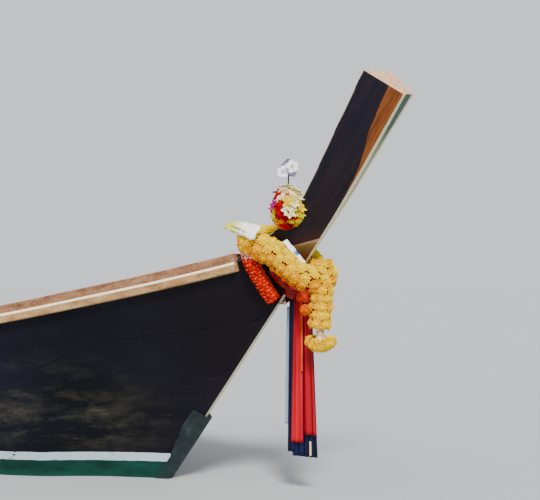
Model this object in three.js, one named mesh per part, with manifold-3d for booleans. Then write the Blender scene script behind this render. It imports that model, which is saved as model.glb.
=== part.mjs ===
// Wooden longtail boat with a tall carved prow, a cloth canopy and a tail engine on a stern swivel.
// Millimetres. +X is the bow, +Y is port, +Z is up. The origin is on the waterline amidships.

import * as THREE from 'three';
import { mergeVertices } from 'three/addons/utils/BufferGeometryUtils.js';
import Module from 'manifold-3d';

const wasm = await Module();
wasm.setup();

// Hull lines. half: half-breadth at the sheer. sheer: top of the rub rail. base: lower end of the planking.
// fullness: 1 is a straight V section, smaller is rounder, larger is hollow.
const HULL = {
  x: [-4900, -3500, -1500, 1000, 2400, 3400, 4000, 4400, 4800, 5280],
  half: [640, 865, 985, 990, 925, 775, 590, 405, 225, 36],
  sheer: [800, 722, 700, 777, 926, 1092, 1218, 1313, 1418, 1557],
  base: [-70, -190, -255, -255, -255, -255, -250, -240, -225, -200],
  fullness: [0.38, 0.34, 0.33, 0.34, 0.34, 0.46, 1.2, 1.1, 1, 1],
};
const GAP = 0.4;
const STERN_X = -4900;
const STEM_WATER_X = 4140;
const STEM_RISE = 1.353;
const FOREFOOT_ROUND = 60;
const GUARD = {
  heights: [-110, -75, -40, 0, 40, 85, 130, 180, 230, 280, 330, 405],
  back: 82,
  middle: 58,
  clear: 3.5,
  thick: 7.5,
  nose: 35,
};
const STEM_HALF = 33.5;
const STEM_FACE_HALF = 18;
const RABBET_BACK = 35;
const STEM_DEPTH = 90;
const RABBET_HALF = 34;
const PLANK = 28;
const PLANK_TOP_DROP = 30;
const STEM_SCARF_X = 3300;
const TRANSOM_THICK = 45;
const TRANSOM_STEPS = 12;
const RAIL_CLEAR = 1.6;
const RAIL_UPPER = { low: 49, proud: 32 };
const RAIL_LOWER = { low: 105, proud: 46 };
const GUNWALE = { wide: 85, clear: 120 };
const KEELSON = { half: 50, low: 2, high: 4, fore: 3735 };
const PROW_FOOT_X = 4800;
const PROW_FRONT_LOW = 1523;
const PROW_FRONT_HALF = 20;

// Prow sections from the foot up. The front and aft ends are given in the centre plane.
const PROW = {
  frontX: [5335, 5412, 5507, 5656, 5806],
  frontZ: [1617, 1724, 1861, 2083, 2305],
  frontHalf: [22, 26, 31, 41, 52],
  aftX: [4960, 5095, 5212, 5412, 5613],
  aftZ: [1500, 1610, 1760, 2107, 2455],
  aftHalf: [170, 146, 135, 147, 160],
};

// Strake seams as shares of the girth, from the keel to the sheer. The bilge strake has three lengths,
// which meet at butts, as its twist is the hardest to bend.
const STRAKES = [
  { name: 'garboard', low: 0, high: 0.25, steps: 4, butts: [], lengths: [''] },
  { name: 'bilge', low: 0.25, high: 0.5, steps: 3, butts: [-2400, 1100], lengths: ['_aft', '_mid', '_fore'] },
  { name: 'topside', low: 0.5, high: 0.75, steps: 3, butts: [], lengths: [''] },
  { name: 'sheer', low: 0.75, high: 1, steps: 4, butts: [], lengths: [''] },
];
const SEAM = 0.6;

const THWART_X = [-2900, -1400, 100, 1600];
const THWART_TOP = 390;
const THWART_THICK = 35;
const THWART_WIDE = 260;
const STERN_RIB_X = -4400;
const RIB_X = [STERN_RIB_X, -3900, -3400, -2900, -2400, -1900, -1400, -900, -400, 100, 600, 1100, 1600,
  2100, 2550, 2950, 3300, 3720];
const RIB_STEPS = 8;
const RIB_CLEAR = 5;
const FRAME_MOULDED = 60;
const FRAME_SIDED = 46;
const FLOOR_TIMBER = 150;
const FLOOR_THICK = 22;
const FLOOR_ENDS = [-3900, -2900, -1400, 2950];
const DECK_THICK = 24;
const DECK_CLEAR = 6;
const DECK_END = 48;
const FOREDECK_AFT = 3950;
const STERN_DECK_FORE = -4150;
const THWART_CLEAR = 8;
const BEAM_HIGH = 90;

const CANOPY = { aft: -2600, fore: 1400, half: 900, eave: 1960, crown: 2120, thick: 12, inset: 20, steps: 16 };
const POST_X = [-2400, -400, 1100];
const POST_RADIUS = 22;
const CANOPY_RAIL_Y = 870;
const CANOPY_VALANCE = 110;
const CANOPY_BOW_X = [-2540, -2325, -1500, -325, 300, 1175];
const BOW_RADIUS = 14;
const BOW_SEAT = 2.8;
const SIDE_RAIL_RADIUS = 20;
const BOW_DROP = 14.8;
const POST_FOOT = { radius: 38, thick: 12, inboard: 45 };

const BATTERY = { long: 330, wide: 260, high: 230, x: -3150, y: 170 };
const TANK_NECK = { x: -3300, radius: 30, sunk: 50, high: 35 };
const TANK = { aft: -3560, fore: -3060, y: -180, radius: 150, neck: TANK_NECK };

// Tail engine. The pivot is where the swivel's upright meets the tilt pin.
const PIVOT = { x: -4600, z: 1250 };
const STERN_BEAM = { wide: 160, past: 60 };
const POST_PLATE = { long: 150, wide: 220, thick: 14 };
const SWIVEL_RADIUS = 48;
const SWIVEL_TOP = 918;
const YOKE_CHEEK_Y = 196;
const YOKE_PLATE = 20;
const YOKE = { baseLong: 180, baseThick: 24, cheekLong: 110, cheekTop: 45 };
const PIN_RADIUS = 20;
const CRADLE_Y = 150;
const CRADLE_TOP = -165;
const TAIL_LENGTH = 3250;
const TAIL_DOWN = 8;
const TAIL_RADIUS = 28;

// Castings of the engine, along the shaft, across it and upwards, with the height of the middle.
const ENGINE_X = 400;
const CASTINGS = [
  { name: 'crankcase', long: 470, wide: 230, high: 170, z: 0 },
  { name: 'cylinders', long: 460, wide: 170, high: 120, z: 140 },
  { name: 'sump', long: 420, wide: 190, high: 82, z: -123.5 },
];
const ENGINE_RIB = { x: [220, 310, 400, 490, 580], thick: 16, wide: 244, high: 140, z: 5 };
const ENGINE_FOOT = { x: [260, 560], y: 135, long: 56, wide: 74, top: -40 };
const HEAD = { long: 460, wide: 190, high: 70, z: 200 };
const COVER = { long: 420, wide: 130, high: 60, z: 300 };
const STUD_X = [250, 350, 450, 550];
const MANIFOLD = { x: [230, 340, 460, 570], y: 150, z: 235 };
const CRADLE_RAIL = { long: 1040, wide: 40, high: 50, x: 260, z: -190 };
const CRADLE_BARS = { x: [-240, 60, 400, 755], long: 50, high: 30 };
const CRADLE_EAR = { long: 170, thick: 14, high: 260, z: -65 };

// Pulleys of the belt: across, up, the wheel's and shaft's radius, and where the shaft starts.
const PULLEYS = [
  { y: 0, z: 0, radius: 78, shaft: 30, from: 635 },
  { y: 0, z: 170, radius: 58, shaft: 24, from: 632 },
  { y: -185, z: 110, radius: 36, shaft: 20, from: 650 },
];
const PULLEY_AFT = 655;
const PULLEY_FORE = 690;
const BELT = { aft: 661, wide: 22, inside: 2, outside: 6 };

// Dressing tied on the bow.
const GARLAND_RADIUS = 78;
const RED_RADIUS = 43;
const SASH_RADIUS = 34;
const SOFT_GAP = 1.5;
const CLOTH = { near: 13, far: 57, folds: 6, deep: 8 };

const colours = {
  black: 0x17161b,
  rail: 0xc9a78a,
  wood: 0x8a6a4a,
  prow: 0x2a1c14,
  guard: 0x4a5560,
  steel: 0x6f7375,
  iron: 0x3c3f40,
  bronze: 0xa9793a,
  canvas: 0x2f5f8a,
  plastic: 0x333333,
  marigold: 0xffb000,
  redFlower: 0xe8300a,
  darkRed: 0x7a0c12,
  redCloth: 0xd0102a,
};

function material(colour, roughness = 0.7, metalness = 0) {
  return new THREE.MeshStandardMaterial({ color: colour, roughness, metalness });
}

const root = new THREE.Group();

function place(name, geometry, colour, roughness, metalness, parent = root) {
  const mesh = new THREE.Mesh(geometry, material(colour, roughness, metalness));
  mesh.name = name;
  parent.add(mesh);
  return mesh;
}

// Cubic through a column of a table, with slopes from the neighbours.
function along(table, column, x) {
  const xs = table.x;
  const ys = table[column];
  const last = xs.length - 1;
  let i = 0;
  while (i < last - 1 && x > xs[i + 1]) {
    i += 1;
  }
  const slope = (k) => {
    const a = Math.max(k - 1, 0);
    const b = Math.min(k + 1, last);
    return (ys[b] - ys[a]) / (xs[b] - xs[a]);
  };
  const h = xs[i + 1] - xs[i];
  const u = Math.min(Math.max((x - xs[i]) / h, 0), 1);
  const u2 = u * u;
  const u3 = u2 * u;
  return (2 * u3 - 3 * u2 + 1) * ys[i] + (u3 - 2 * u2 + u) * h * slope(i)
    + (3 * u2 - 2 * u3) * ys[i + 1] + (u3 - u2) * h * slope(i + 1);
}

const sheerAt = (x) => along(HULL, 'sheer', x);
const halfAt = (x) => along(HULL, 'half', x);
const fullAt = (x) => along(HULL, 'fullness', x);
const baseAt = (x) => along(HULL, 'base', x);

// Height of the rabbet, where the planking leaves the keel and the stem.
function rabbetAt(x) {
  const keel = baseAt(x);
  const stem = (x + RABBET_BACK - STEM_WATER_X) * STEM_RISE;
  const half = (stem - keel) / 2;
  return (stem + keel) / 2 + Math.sqrt(half * half + FOREFOOT_ROUND * FOREFOOT_ROUND);
}

const RABBET_TO_FACE = RABBET_BACK * STEM_RISE;
const profileAt = (x) => rabbetAt(x) - RABBET_TO_FACE;

// Fore-and-aft place of the stem's front face at a height, by halving.
function stemFaceX(z) {
  let low = 3300;
  let high = 5400;
  for (let i = 0; i < 40; i += 1) {
    const mid = (low + high) / 2;
    if (profileAt(mid) < z) {
      low = mid;
    } else {
      high = mid;
    }
  }
  return (low + high) / 2;
}

// Outer hull point at a station, t from 0 at the rabbet to 1 at the sheer.
function hullPoint(x, t) {
  const root1 = Math.sqrt(fullAt(x));
  const rabbet = rabbetAt(x);
  const y = RABBET_HALF + (halfAt(x) - RABBET_HALF) * Math.pow(t, root1);
  const z = rabbet + (sheerAt(x) - rabbet) * Math.pow(t, 1 / root1);
  return { y, z };
}

// Point at a depth inside the outer skin, square to it in the station's plane.
function innerPoint(x, t, depth) {
  const step = 0.004;
  const a = hullPoint(x, Math.max(t - step, 0.0005));
  const b = hullPoint(x, Math.max(t, 0.0005) + step);
  const length = Math.hypot(b.y - a.y, b.z - a.z);
  const p = hullPoint(x, t);
  return { y: p.y - (depth * (b.z - a.z)) / length, z: p.z + (depth * (b.y - a.y)) / length };
}

// The t of the outer skin at a height.
function shareAt(x, z) {
  const rabbet = rabbetAt(x);
  const share = Math.min(Math.max((z - rabbet) / (sheerAt(x) - rabbet), 0), 1);
  return Math.pow(share, Math.sqrt(fullAt(x)));
}

const skinHalf = (x, z) => hullPoint(x, shareAt(x, z)).y;

// Half-breadth at a height, at a depth inside the outer skin.
function innerHalf(x, z, depth) {
  let low = 0;
  let high = 1;
  for (let i = 0; i < 30; i += 1) {
    const mid = (low + high) / 2;
    if (innerPoint(x, mid, depth).z < z) {
      low = mid;
    } else {
      high = mid;
    }
  }
  return innerPoint(x, (low + high) / 2, depth).y;
}

// Height of a seam: even shares of the girth amidships, spread up the stem at the bow.
function seamHeight(x, share) {
  const base = baseAt(x);
  return base + (sheerAt(x) - base) * Math.pow(share, 1 / Math.sqrt(fullAt(x)));
}

function bufferFrom(points, faces) {
  const geometry = new THREE.BufferGeometry();
  geometry.setAttribute('position', new THREE.Float32BufferAttribute(points.flat(), 3));
  geometry.setIndex(faces.flat());
  return outward(geometry);
}

// Turns every face over if the solid is inside out.
function outward(geometry) {
  const p = geometry.getAttribute('position');
  const index = geometry.getIndex();
  let volume = 0;
  const a = new THREE.Vector3();
  const b = new THREE.Vector3();
  const c = new THREE.Vector3();
  for (let i = 0; i < index.count; i += 3) {
    a.fromBufferAttribute(p, index.getX(i));
    b.fromBufferAttribute(p, index.getX(i + 1));
    c.fromBufferAttribute(p, index.getX(i + 2));
    volume += a.dot(b.cross(c));
  }
  if (volume < 0) {
    for (let i = 0; i < index.count; i += 3) {
      const keep = index.getX(i);
      index.setX(i, index.getX(i + 1));
      index.setX(i + 1, keep);
    }
  }
  geometry.computeVertexNormals();
  return geometry;
}

// Closed solid between two grids of points of the same shape.
function shell(outer, inner) {
  const rows = outer.length;
  const columns = outer[0].length;
  const points = [...outer.flat(), ...inner.flat()];
  const faces = [];
  const at = (side, i, j) => side * rows * columns + i * columns + j;
  const quad = (a, b, c, d) => faces.push([a, b, c], [a, c, d]);
  for (let i = 0; i < rows - 1; i += 1) {
    for (let j = 0; j < columns - 1; j += 1) {
      quad(at(0, i, j), at(0, i + 1, j), at(0, i + 1, j + 1), at(0, i, j + 1));
      quad(at(1, i, j), at(1, i, j + 1), at(1, i + 1, j + 1), at(1, i + 1, j));
    }
    quad(at(0, i, 0), at(1, i, 0), at(1, i + 1, 0), at(0, i + 1, 0));
    const end = columns - 1;
    quad(at(0, i, end), at(0, i + 1, end), at(1, i + 1, end), at(1, i, end));
  }
  const tail = rows - 1;
  for (let j = 0; j < columns - 1; j += 1) {
    quad(at(0, 0, j), at(0, 0, j + 1), at(1, 0, j + 1), at(1, 0, j));
    quad(at(0, tail, j), at(1, tail, j), at(1, tail, j + 1), at(0, tail, j + 1));
  }
  return bufferFrom(points, faces);
}

// Closed solid through convex rings of the same number of points.
function loft(rings) {
  const count = rings[0].length;
  const points = rings.flat();
  const faces = [];
  for (let i = 0; i < rings.length - 1; i += 1) {
    for (let j = 0; j < count; j += 1) {
      const k = (j + 1) % count;
      const a = i * count + j;
      const b = i * count + k;
      faces.push([a, b, b + count], [a, b + count, a + count]);
    }
  }
  const last = (rings.length - 1) * count;
  for (let j = 1; j < count - 1; j += 1) {
    faces.push([0, j + 1, j], [last, last + j, last + j + 1]);
  }
  return bufferFrom(points, faces);
}

function box(sizeX, sizeY, sizeZ, x, y, z) {
  return new THREE.BoxGeometry(sizeX, sizeY, sizeZ).translate(x, y, z);
}

// Round rod between two points.
function rod(from, to, radius, sides = 12) {
  const a = new THREE.Vector3(...from);
  const b = new THREE.Vector3(...to);
  const geometry = new THREE.CylinderGeometry(radius, radius, a.distanceTo(b), sides);
  const turn = new THREE.Quaternion().setFromUnitVectors(
    new THREE.Vector3(0, 1, 0),
    b.clone().sub(a).normalize(),
  );
  geometry.applyQuaternion(turn);
  const middle = a.add(b).multiplyScalar(0.5);
  return geometry.translate(middle.x, middle.y, middle.z);
}

// Round tube along a smooth path through the points.
function roundAlong(points, radius, steps, sides = 8, closed = false) {
  const path = new THREE.CatmullRomCurve3(points.map((p) => new THREE.Vector3(...p)), closed);
  const section = new THREE.Shape();
  for (let i = 0; i < sides; i += 1) {
    const angle = (2 * Math.PI * i) / sides;
    const x = radius * Math.cos(angle);
    const y = radius * Math.sin(angle);
    if (i === 0) {
      section.moveTo(x, y);
    } else {
      section.lineTo(x, y);
    }
  }
  section.closePath();
  return new THREE.ExtrudeGeometry(section, { steps, extrudePath: path, bevelEnabled: false });
}

function solid(geometry) {
  const bare = geometry.clone();
  bare.deleteAttribute('normal');
  bare.deleteAttribute('uv');
  const merged = mergeVertices(bare, 1e-3);
  return new wasm.Manifold(new wasm.Mesh({
    numProp: 3,
    vertProperties: new Float32Array(merged.getAttribute('position').array),
    triVerts: new Uint32Array(merged.getIndex().array),
  }));
}

function geometryOf(manifold) {
  const mesh = manifold.getMesh();
  const geometry = new THREE.BufferGeometry();
  geometry.setAttribute('position', new THREE.Float32BufferAttribute(mesh.vertProperties, 3));
  geometry.setIndex([...mesh.triVerts]);
  geometry.computeVertexNormals();
  return geometry;
}

function joined(...geometries) {
  return geometryOf(geometries.map(solid).reduce((a, b) => a.add(b)));
}

function cut(geometry, ...tools) {
  return geometryOf(tools.map(solid).reduce((a, b) => a.subtract(b), solid(geometry)));
}

const mirrored = (geometry) => {
  const other = geometry.clone().scale(1, -1, 1);
  const index = other.getIndex();
  for (let i = 0; i < index.count; i += 3) {
    const keep = index.getX(i);
    index.setX(i, index.getX(i + 1));
    index.setX(i + 1, keep);
  }
  other.computeVertexNormals();
  return other;
};

function placeBoth(name, geometry, colour, roughness, metalness) {
  place(`${name}_port`, geometry, colour, roughness, metalness);
  place(`${name}_starboard`, mirrored(geometry), colour, roughness, metalness);
}

// Last station of a strake: where its upper edge comes down to the rabbet.
function hoodX(share) {
  let low = 3300;
  let high = 5270;
  const top = (x) => (share === 1 ? sheerAt(x) - PLANK_TOP_DROP : seamHeight(x, share));
  for (let i = 0; i < 40; i += 1) {
    const mid = (low + high) / 2;
    if (top(mid) - rabbetAt(mid) > 8) {
      low = mid;
    } else {
      high = mid;
    }
  }
  return low;
}

const PLANK_AFT = STERN_X + TRANSOM_THICK + GAP;
const BOW_STATIONS = [3375, 3450, 3525, 3600, 3655, 3697, 3743, 3780, 3820, 3900, 3980, 4060, 4150, 4300,
  4500, 4700, 4800, 4900, 5100];
const PLANK_STATIONS = [PLANK_AFT, ...RIB_X, ...BOW_STATIONS].sort((a, b) => a - b);
const HOODS = STRAKES.map((strake) => hoodX(strake.high));
const ALL_STATIONS = [...PLANK_STATIONS, ...HOODS].sort((a, b) => a - b);

// One length of a strake, from station to station.
function strake({ low, high, steps }, from, to) {
  const outer = [];
  const inner = [];
  for (const x of [from, ...ALL_STATIONS.filter((s) => s > from && s < to), to]) {
    const roof = sheerAt(x) - PLANK_TOP_DROP;
    const bottom = Math.max(seamHeight(x, low) + (low > 0 ? SEAM : 0), rabbetAt(x));
    const top = high === 1 ? roof : seamHeight(x, high) - SEAM;
    const start = shareAt(x, bottom);
    const end = shareAt(x, top);
    const outerRow = [];
    const innerRow = [];
    for (let i = 0; i <= steps; i += 1) {
      const t = start + ((end - start) * i) / steps;
      const p = hullPoint(x, t);
      const q = innerPoint(x, t, PLANK);
      outerRow.push([x, p.y, p.z]);
      innerRow.push([x, Math.max(q.y, RABBET_HALF + 0.2), Math.min(q.z, roof)]);
    }
    outer.push(outerRow);
    inner.push(innerRow);
  }
  return shell(outer, inner);
}

// Every length of every strake, on both sides.
function placeStrakes() {
  STRAKES.forEach((row, index) => {
    row.lengths.forEach((label, i) => {
      const from = i === 0 ? PLANK_AFT : row.butts[i - 1] + GAP / 2;
      const to = i === row.butts.length ? HOODS[index] : row.butts[i] - GAP / 2;
      placeBoth(`strake_${row.name}${label}`, strake(row, from, to), colours.black, 0.55);
    });
  });
}

function keelRing(x) {
  const rabbet = rabbetAt(x);
  const bottom = rabbet - RABBET_TO_FACE;
  const top = rabbet + STEM_DEPTH;
  return [
    [x, -STEM_FACE_HALF, bottom],
    [x, STEM_FACE_HALF, bottom],
    [x, STEM_HALF, rabbet],
    [x, STEM_HALF, top],
    [x, -STEM_HALF, top],
    [x, -STEM_HALF, rabbet],
  ];
}

function keel() {
  const stations = PLANK_STATIONS.filter((x) => x < STEM_SCARF_X);
  return loft([...stations, STEM_SCARF_X - GAP].map(keelRing));
}

function prowRing(x1, z1, half1, x2, z2, half2) {
  return [[x1, -half1, z1], [x1, half1, z1], [x2, half2, z2], [x2, -half2, z2]];
}

// Stem timber with the prow that grows out of it.
function stemProw() {
  const stations = ALL_STATIONS.filter((x) => x > STEM_SCARF_X);
  const stem = loft([STEM_SCARF_X, ...stations, 5300].map(keelRing));
  const seat = PLANK_TOP_DROP - 0.6;
  const footZ = sheerAt(PROW_FOOT_X) - seat;
  const frontX = STEM_WATER_X + PROW_FRONT_LOW / STEM_RISE;
  const foot = skinHalf(PROW_FOOT_X, footZ);
  const rings = [prowRing(frontX, PROW_FRONT_LOW, PROW_FRONT_HALF, PROW_FOOT_X, footZ, foot)];
  PROW.frontX.forEach((x, i) => {
    rings.push(prowRing(x, PROW.frontZ[i], PROW.frontHalf[i], PROW.aftX[i], PROW.aftZ[i], PROW.aftHalf[i]));
  });
  return joined(stem, loft(rings));
}

// Sheathing folded round the forefoot.
function stemGuard() {
  const outer = [];
  const inner = [];
  for (const z of GUARD.heights) {
    const face = stemFaceX(z);
    const wall = (x, clear) => [x, skinHalf(x, Math.max(z, rabbetAt(x))) + clear, z];
    const back = face - GUARD.back;
    const middle = face - GUARD.middle;
    const rabbet = face - RABBET_BACK;
    const innerHalfRow = [wall(back, GUARD.clear), wall(middle, GUARD.clear),
      [rabbet, STEM_HALF + GUARD.clear, z], [face + 2 * GAP, STEM_FACE_HALF + 2 * GAP, z]];
    const outerHalfRow = [wall(back, GUARD.clear + GUARD.thick), wall(middle, GUARD.clear + GUARD.thick),
      [rabbet + GUARD.thick, STEM_HALF + GUARD.clear + GUARD.thick, z],
      [face + GUARD.nose, STEM_FACE_HALF + GUARD.clear, z]];
    const both = (row) => [...row, ...row.slice().reverse().map(([x, y, h]) => [x, -y, h])];
    outer.push(both(outerHalfRow));
    inner.push(both(innerHalfRow));
  }
  return shell(outer, inner);
}

function transom() {
  const face = (x) => {
    const ring = [];
    const rabbet = rabbetAt(STERN_X);
    const highest = shareAt(STERN_X, sheerAt(PLANK_AFT) - PLANK_TOP_DROP - GAP);
    for (let i = 0; i <= TRANSOM_STEPS; i += 1) {
      const p = hullPoint(STERN_X, Math.max((highest * i) / TRANSOM_STEPS, 0.0005));
      ring.push([x, p.y, p.z]);
    }
    const other = ring.slice().reverse().map(([a, b, c]) => [a, -b, c]);
    return [...ring, ...other, [x, -STEM_FACE_HALF, rabbet - RABBET_TO_FACE],
      [x, STEM_FACE_HALF, rabbet - RABBET_TO_FACE]];
  };
  const outline = face(0);
  const shape = new THREE.Shape(outline.map(([, y, z]) => new THREE.Vector2(y, z)));
  const slab = new THREE.ExtrudeGeometry(shape, { depth: TRANSOM_THICK, bevelEnabled: false });
  slab.rotateX(Math.PI / 2).rotateZ(Math.PI / 2);
  return slab.translate(STERN_X, 0, 0);
}

const RAIL_STATIONS = [STERN_X, ...ALL_STATIONS.filter((x) => x <= PROW_FOOT_X)];

// Strip along the sheer, between two drops below it, standing out from the planking.
function sideStrip(topDrop, { low: bottomDrop, proud }) {
  const outer = [];
  const inner = [];
  for (const x of RAIL_STATIONS) {
    const high = sheerAt(x) - topDrop;
    const low = sheerAt(x) - bottomDrop;
    const near = skinHalf(x, high) + RAIL_CLEAR;
    const nearLow = skinHalf(x, low) + RAIL_CLEAR;
    outer.push([[x, near + proud, high], [x, nearLow + proud, low]]);
    inner.push([[x, near, high], [x, nearLow, low]]);
  }
  return shell(outer, inner);
}

function gunwale() {
  const outer = [];
  const inner = [];
  for (const x of RAIL_STATIONS) {
    const top = sheerAt(x);
    const low = top - PLANK_TOP_DROP + GAP;
    const edge = skinHalf(x, top);
    const width = Math.min(GUNWALE.wide, halfAt(x) - GUNWALE.clear);
    outer.push([[x, edge, top], [x, edge - width, top]]);
    inner.push([[x, skinHalf(x, low), low], [x, edge - width, low]]);
  }
  return shell(outer, inner);
}

const ribShare = (i) => Math.pow(i / RIB_STEPS, 1.2) * 0.985 + 0.0008;

// One rib with its floor timber, from sheer to sheer. grow makes it larger for cutting a notch.
function rib(x, grow = 0) {
  const rows = [x - FRAME_SIDED / 2 - grow, x + FRAME_SIDED / 2 + grow].map((station) => {
    const roof = sheerAt(station) - PLANK_TOP_DROP - GAP;
    const floor = rabbetAt(station) + FLOOR_TIMBER;
    const outer = [];
    const inner = [];
    const at = (i, depth) => {
      const p = innerPoint(station, ribShare(i), depth);
      const y = p.z > roof ? innerHalf(station, roof, depth) : p.y;
      return { y: i === 0 ? 0 : Math.max(y, 1), z: Math.min(p.z, roof) };
    };
    for (let i = 0; i <= RIB_STEPS; i += 1) {
      const p = at(i, PLANK + RIB_CLEAR - grow);
      const q = at(i, PLANK + FRAME_MOULDED + grow);
      outer.push([station, p.y, p.z]);
      inner.push([station, q.y, Math.min(Math.max(q.z, floor + grow), roof)]);
    }
    return { outer, inner };
  });
  const port = shell(rows.map((r) => r.outer), rows.map((r) => r.inner));
  return joined(port, mirrored(port));
}

// Keel and stem grown a little, to cut what lies over them.
function keelCore(grow) {
  return loft(ALL_STATIONS.map((x) => keelRing(x).map(([a, b, c]) => [
    a,
    b + Math.sign(b) * grow,
    c > rabbetAt(x) ? c + grow : c - grow,
  ])));
}

function frames() {
  const { half } = KEELSON;
  const keelsonRings = [...RIB_X, KEELSON.fore].map((x) => {
    const low = rabbetAt(x) + STEM_DEPTH + KEELSON.low;
    const high = rabbetAt(x) + FLOOR_TIMBER - KEELSON.high;
    return [[x, -half, low], [x, half, low], [x, half, high], [x, -half, high]];
  });
  const ribs = RIB_X.map((x) => rib(x));
  return cut(joined(loft(keelsonRings), ...ribs), keelCore(GAP));
}

// Flat or curved board that follows the hull sides.
function board(stations, topAt, thick, halfAtStation) {
  const outer = [];
  const inner = [];
  for (const x of stations) {
    const half = halfAtStation(x);
    const top = topAt(x);
    outer.push([[x, -half, top], [x, 0, top], [x, half, top]]);
    inner.push([[x, -half, top - thick], [x, 0, top - thick], [x, half, top - thick]]);
  }
  return shell(outer, inner);
}

const floorTopAt = (x) => rabbetAt(x) + FLOOR_TIMBER + 1.5 * GAP + FLOOR_THICK;

// Half-breadth of the flat top of the floor timbers.
function floorHalf(x) {
  const top = rabbetAt(x) + FLOOR_TIMBER;
  let half = 0;
  for (let i = 1; i <= RIB_STEPS; i += 1) {
    const p = innerPoint(x, ribShare(i), PLANK + FRAME_MOULDED);
    half = p.z < top ? p.y : half;
  }
  return Math.max(half, 60);
}

// Removable floor panel between two ribs.
function floorPanel(from, to) {
  const stations = RIB_X.filter((x) => x > from && x < to);
  return board([from + GAP, ...stations, to - GAP], floorTopAt, FLOOR_THICK, floorHalf);
}

const deckTop = (x) => sheerAt(x) - PLANK_TOP_DROP;
const deckHalf = (x) => innerHalf(x, deckTop(x) - DECK_THICK, PLANK) - DECK_CLEAR;

function foredeck() {
  const stations = PLANK_STATIONS.filter((x) => x > FOREDECK_AFT && x < PROW_FOOT_X - DECK_END);
  return board([...stations, PROW_FOOT_X - DECK_END / 4], deckTop, DECK_THICK, deckHalf);
}

function sternDeck() {
  const deck = board([PLANK_AFT + 2, STERN_RIB_X, STERN_DECK_FORE], deckTop, DECK_THICK, deckHalf);
  return cut(deck, rib(STERN_RIB_X, 2 * GAP));
}

function thwart(x) {
  const ends = [x - THWART_WIDE / 2, x, x + THWART_WIDE / 2];
  const low = THWART_TOP - THWART_THICK;
  const half = Math.min(...ends.map((end) => innerHalf(end, low, PLANK + THWART_CLEAR)));
  const plank = box(THWART_WIDE, 2 * half, THWART_THICK, x, 0, THWART_TOP - THWART_THICK / 2);
  return cut(plank, rib(x, GAP));
}

const sternBeamEnds = [-1, 1].map((side) => sheerAt(PIVOT.x + (side * STERN_BEAM.wide) / 2));
const sternBeamLow = Math.max(...sternBeamEnds) + GAP;

function sternBeam() {
  const across = 2 * halfAt(PIVOT.x) + STERN_BEAM.past;
  return box(STERN_BEAM.wide, across, BEAM_HIGH, PIVOT.x, 0, sternBeamLow + BEAM_HIGH / 2);
}

function swivelPost() {
  const x = PIVOT.x;
  const low = sternBeamLow + BEAM_HIGH + GAP;
  const { long, wide, thick } = POST_PLATE;
  const plate = box(long, wide, thick, x, 0, low + thick / 2);
  const post = rod([x, 0, low], [x, 0, SWIVEL_TOP], SWIVEL_RADIUS, 20);
  return joined(plate, post);
}

// Height of the canopy's arch at a distance from the centre plane, less a drop below the cover.
function archHeight(y, drop) {
  return CANOPY.crown - drop - (CANOPY.crown - CANOPY.eave) * (y / CANOPY.half) ** 2;
}

// Rod under the canopy from end to end.
function canopyPole(y, z, radius, sides) {
  return rod([CANOPY.aft + CANOPY.inset, y, z], [CANOPY.fore - CANOPY.inset, y, z], radius, sides);
}

// Posts of one side with their foot plates and the rail along their heads.
function canopySide(side) {
  const y = (x) => side * (skinHalf(x, sheerAt(x)) - POST_FOOT.inboard);
  const head = archHeight(CANOPY_RAIL_Y, BOW_DROP) - BOW_RADIUS - SIDE_RAIL_RADIUS + BOW_SEAT;
  const pieces = [canopyPole(side * CANOPY_RAIL_Y, head, SIDE_RAIL_RADIUS, 12)];
  for (const x of POST_X) {
    const { radius, thick } = POST_FOOT;
    const foot = Math.max(sheerAt(x - radius), sheerAt(x + radius)) + 2.5 * GAP;
    pieces.push(rod([x, y(x), foot + thick / 2], [x, side * CANOPY_RAIL_Y, head], POST_RADIUS, 12));
    pieces.push(rod([x, y(x), foot], [x, y(x), foot + thick], radius, 16));
  }
  return joined(...pieces);
}

// Cross bows of the canopy, joined by the ridge pole.
function canopyBows() {
  const pieces = [canopyPole(0, archHeight(0, BOW_DROP), BOW_RADIUS, 8)];
  for (const x of CANOPY_BOW_X) {
    const points = [];
    for (let i = -4; i <= 4; i += 1) {
      const y = (i / 4) * CANOPY_RAIL_Y;
      points.push([x, y, archHeight(y, BOW_DROP)]);
    }
    pieces.push(roundAlong(points, BOW_RADIUS, 12, 6));
  }
  return joined(...pieces);
}

function canopyCover() {
  const outer = [];
  const inner = [];
  const { aft, fore, half, thick, steps } = CANOPY;
  const hem = CANOPY.eave - CANOPY_VALANCE;
  for (const x of [aft, fore]) {
    const top = [[x, -half - thick, hem]];
    const under = [[x, -half, hem]];
    for (let i = 0; i <= steps; i += 1) {
      const y = half * ((2 * i) / steps - 1);
      top.push([x, y * (1 + thick / half), archHeight(y, -thick)]);
      under.push([x, y, archHeight(y, 0)]);
    }
    top.push([x, half + thick, hem]);
    under.push([x, half, hem]);
    outer.push(top);
    inner.push(under);
  }
  return shell(outer, inner);
}

function batteryBox() {
  const { long, wide, high, x, y } = BATTERY;
  return box(long, wide, high, x, y, floorTopAt(x - long / 2) + 2 * GAP + high / 2);
}

// Drum lying on the floor, with its filler neck.
function fuelTank() {
  const { aft, fore, y, radius, neck } = TANK;
  const drum = rod([aft, y, 0], [fore, y, 0], radius, 20);
  const filler = rod([neck.x, y, radius - neck.sunk], [neck.x, y, radius + neck.high], neck.radius, 12);
  return joined(drum, filler).translate(0, 0, floorTopAt(aft) + radius + 2);
}

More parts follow.
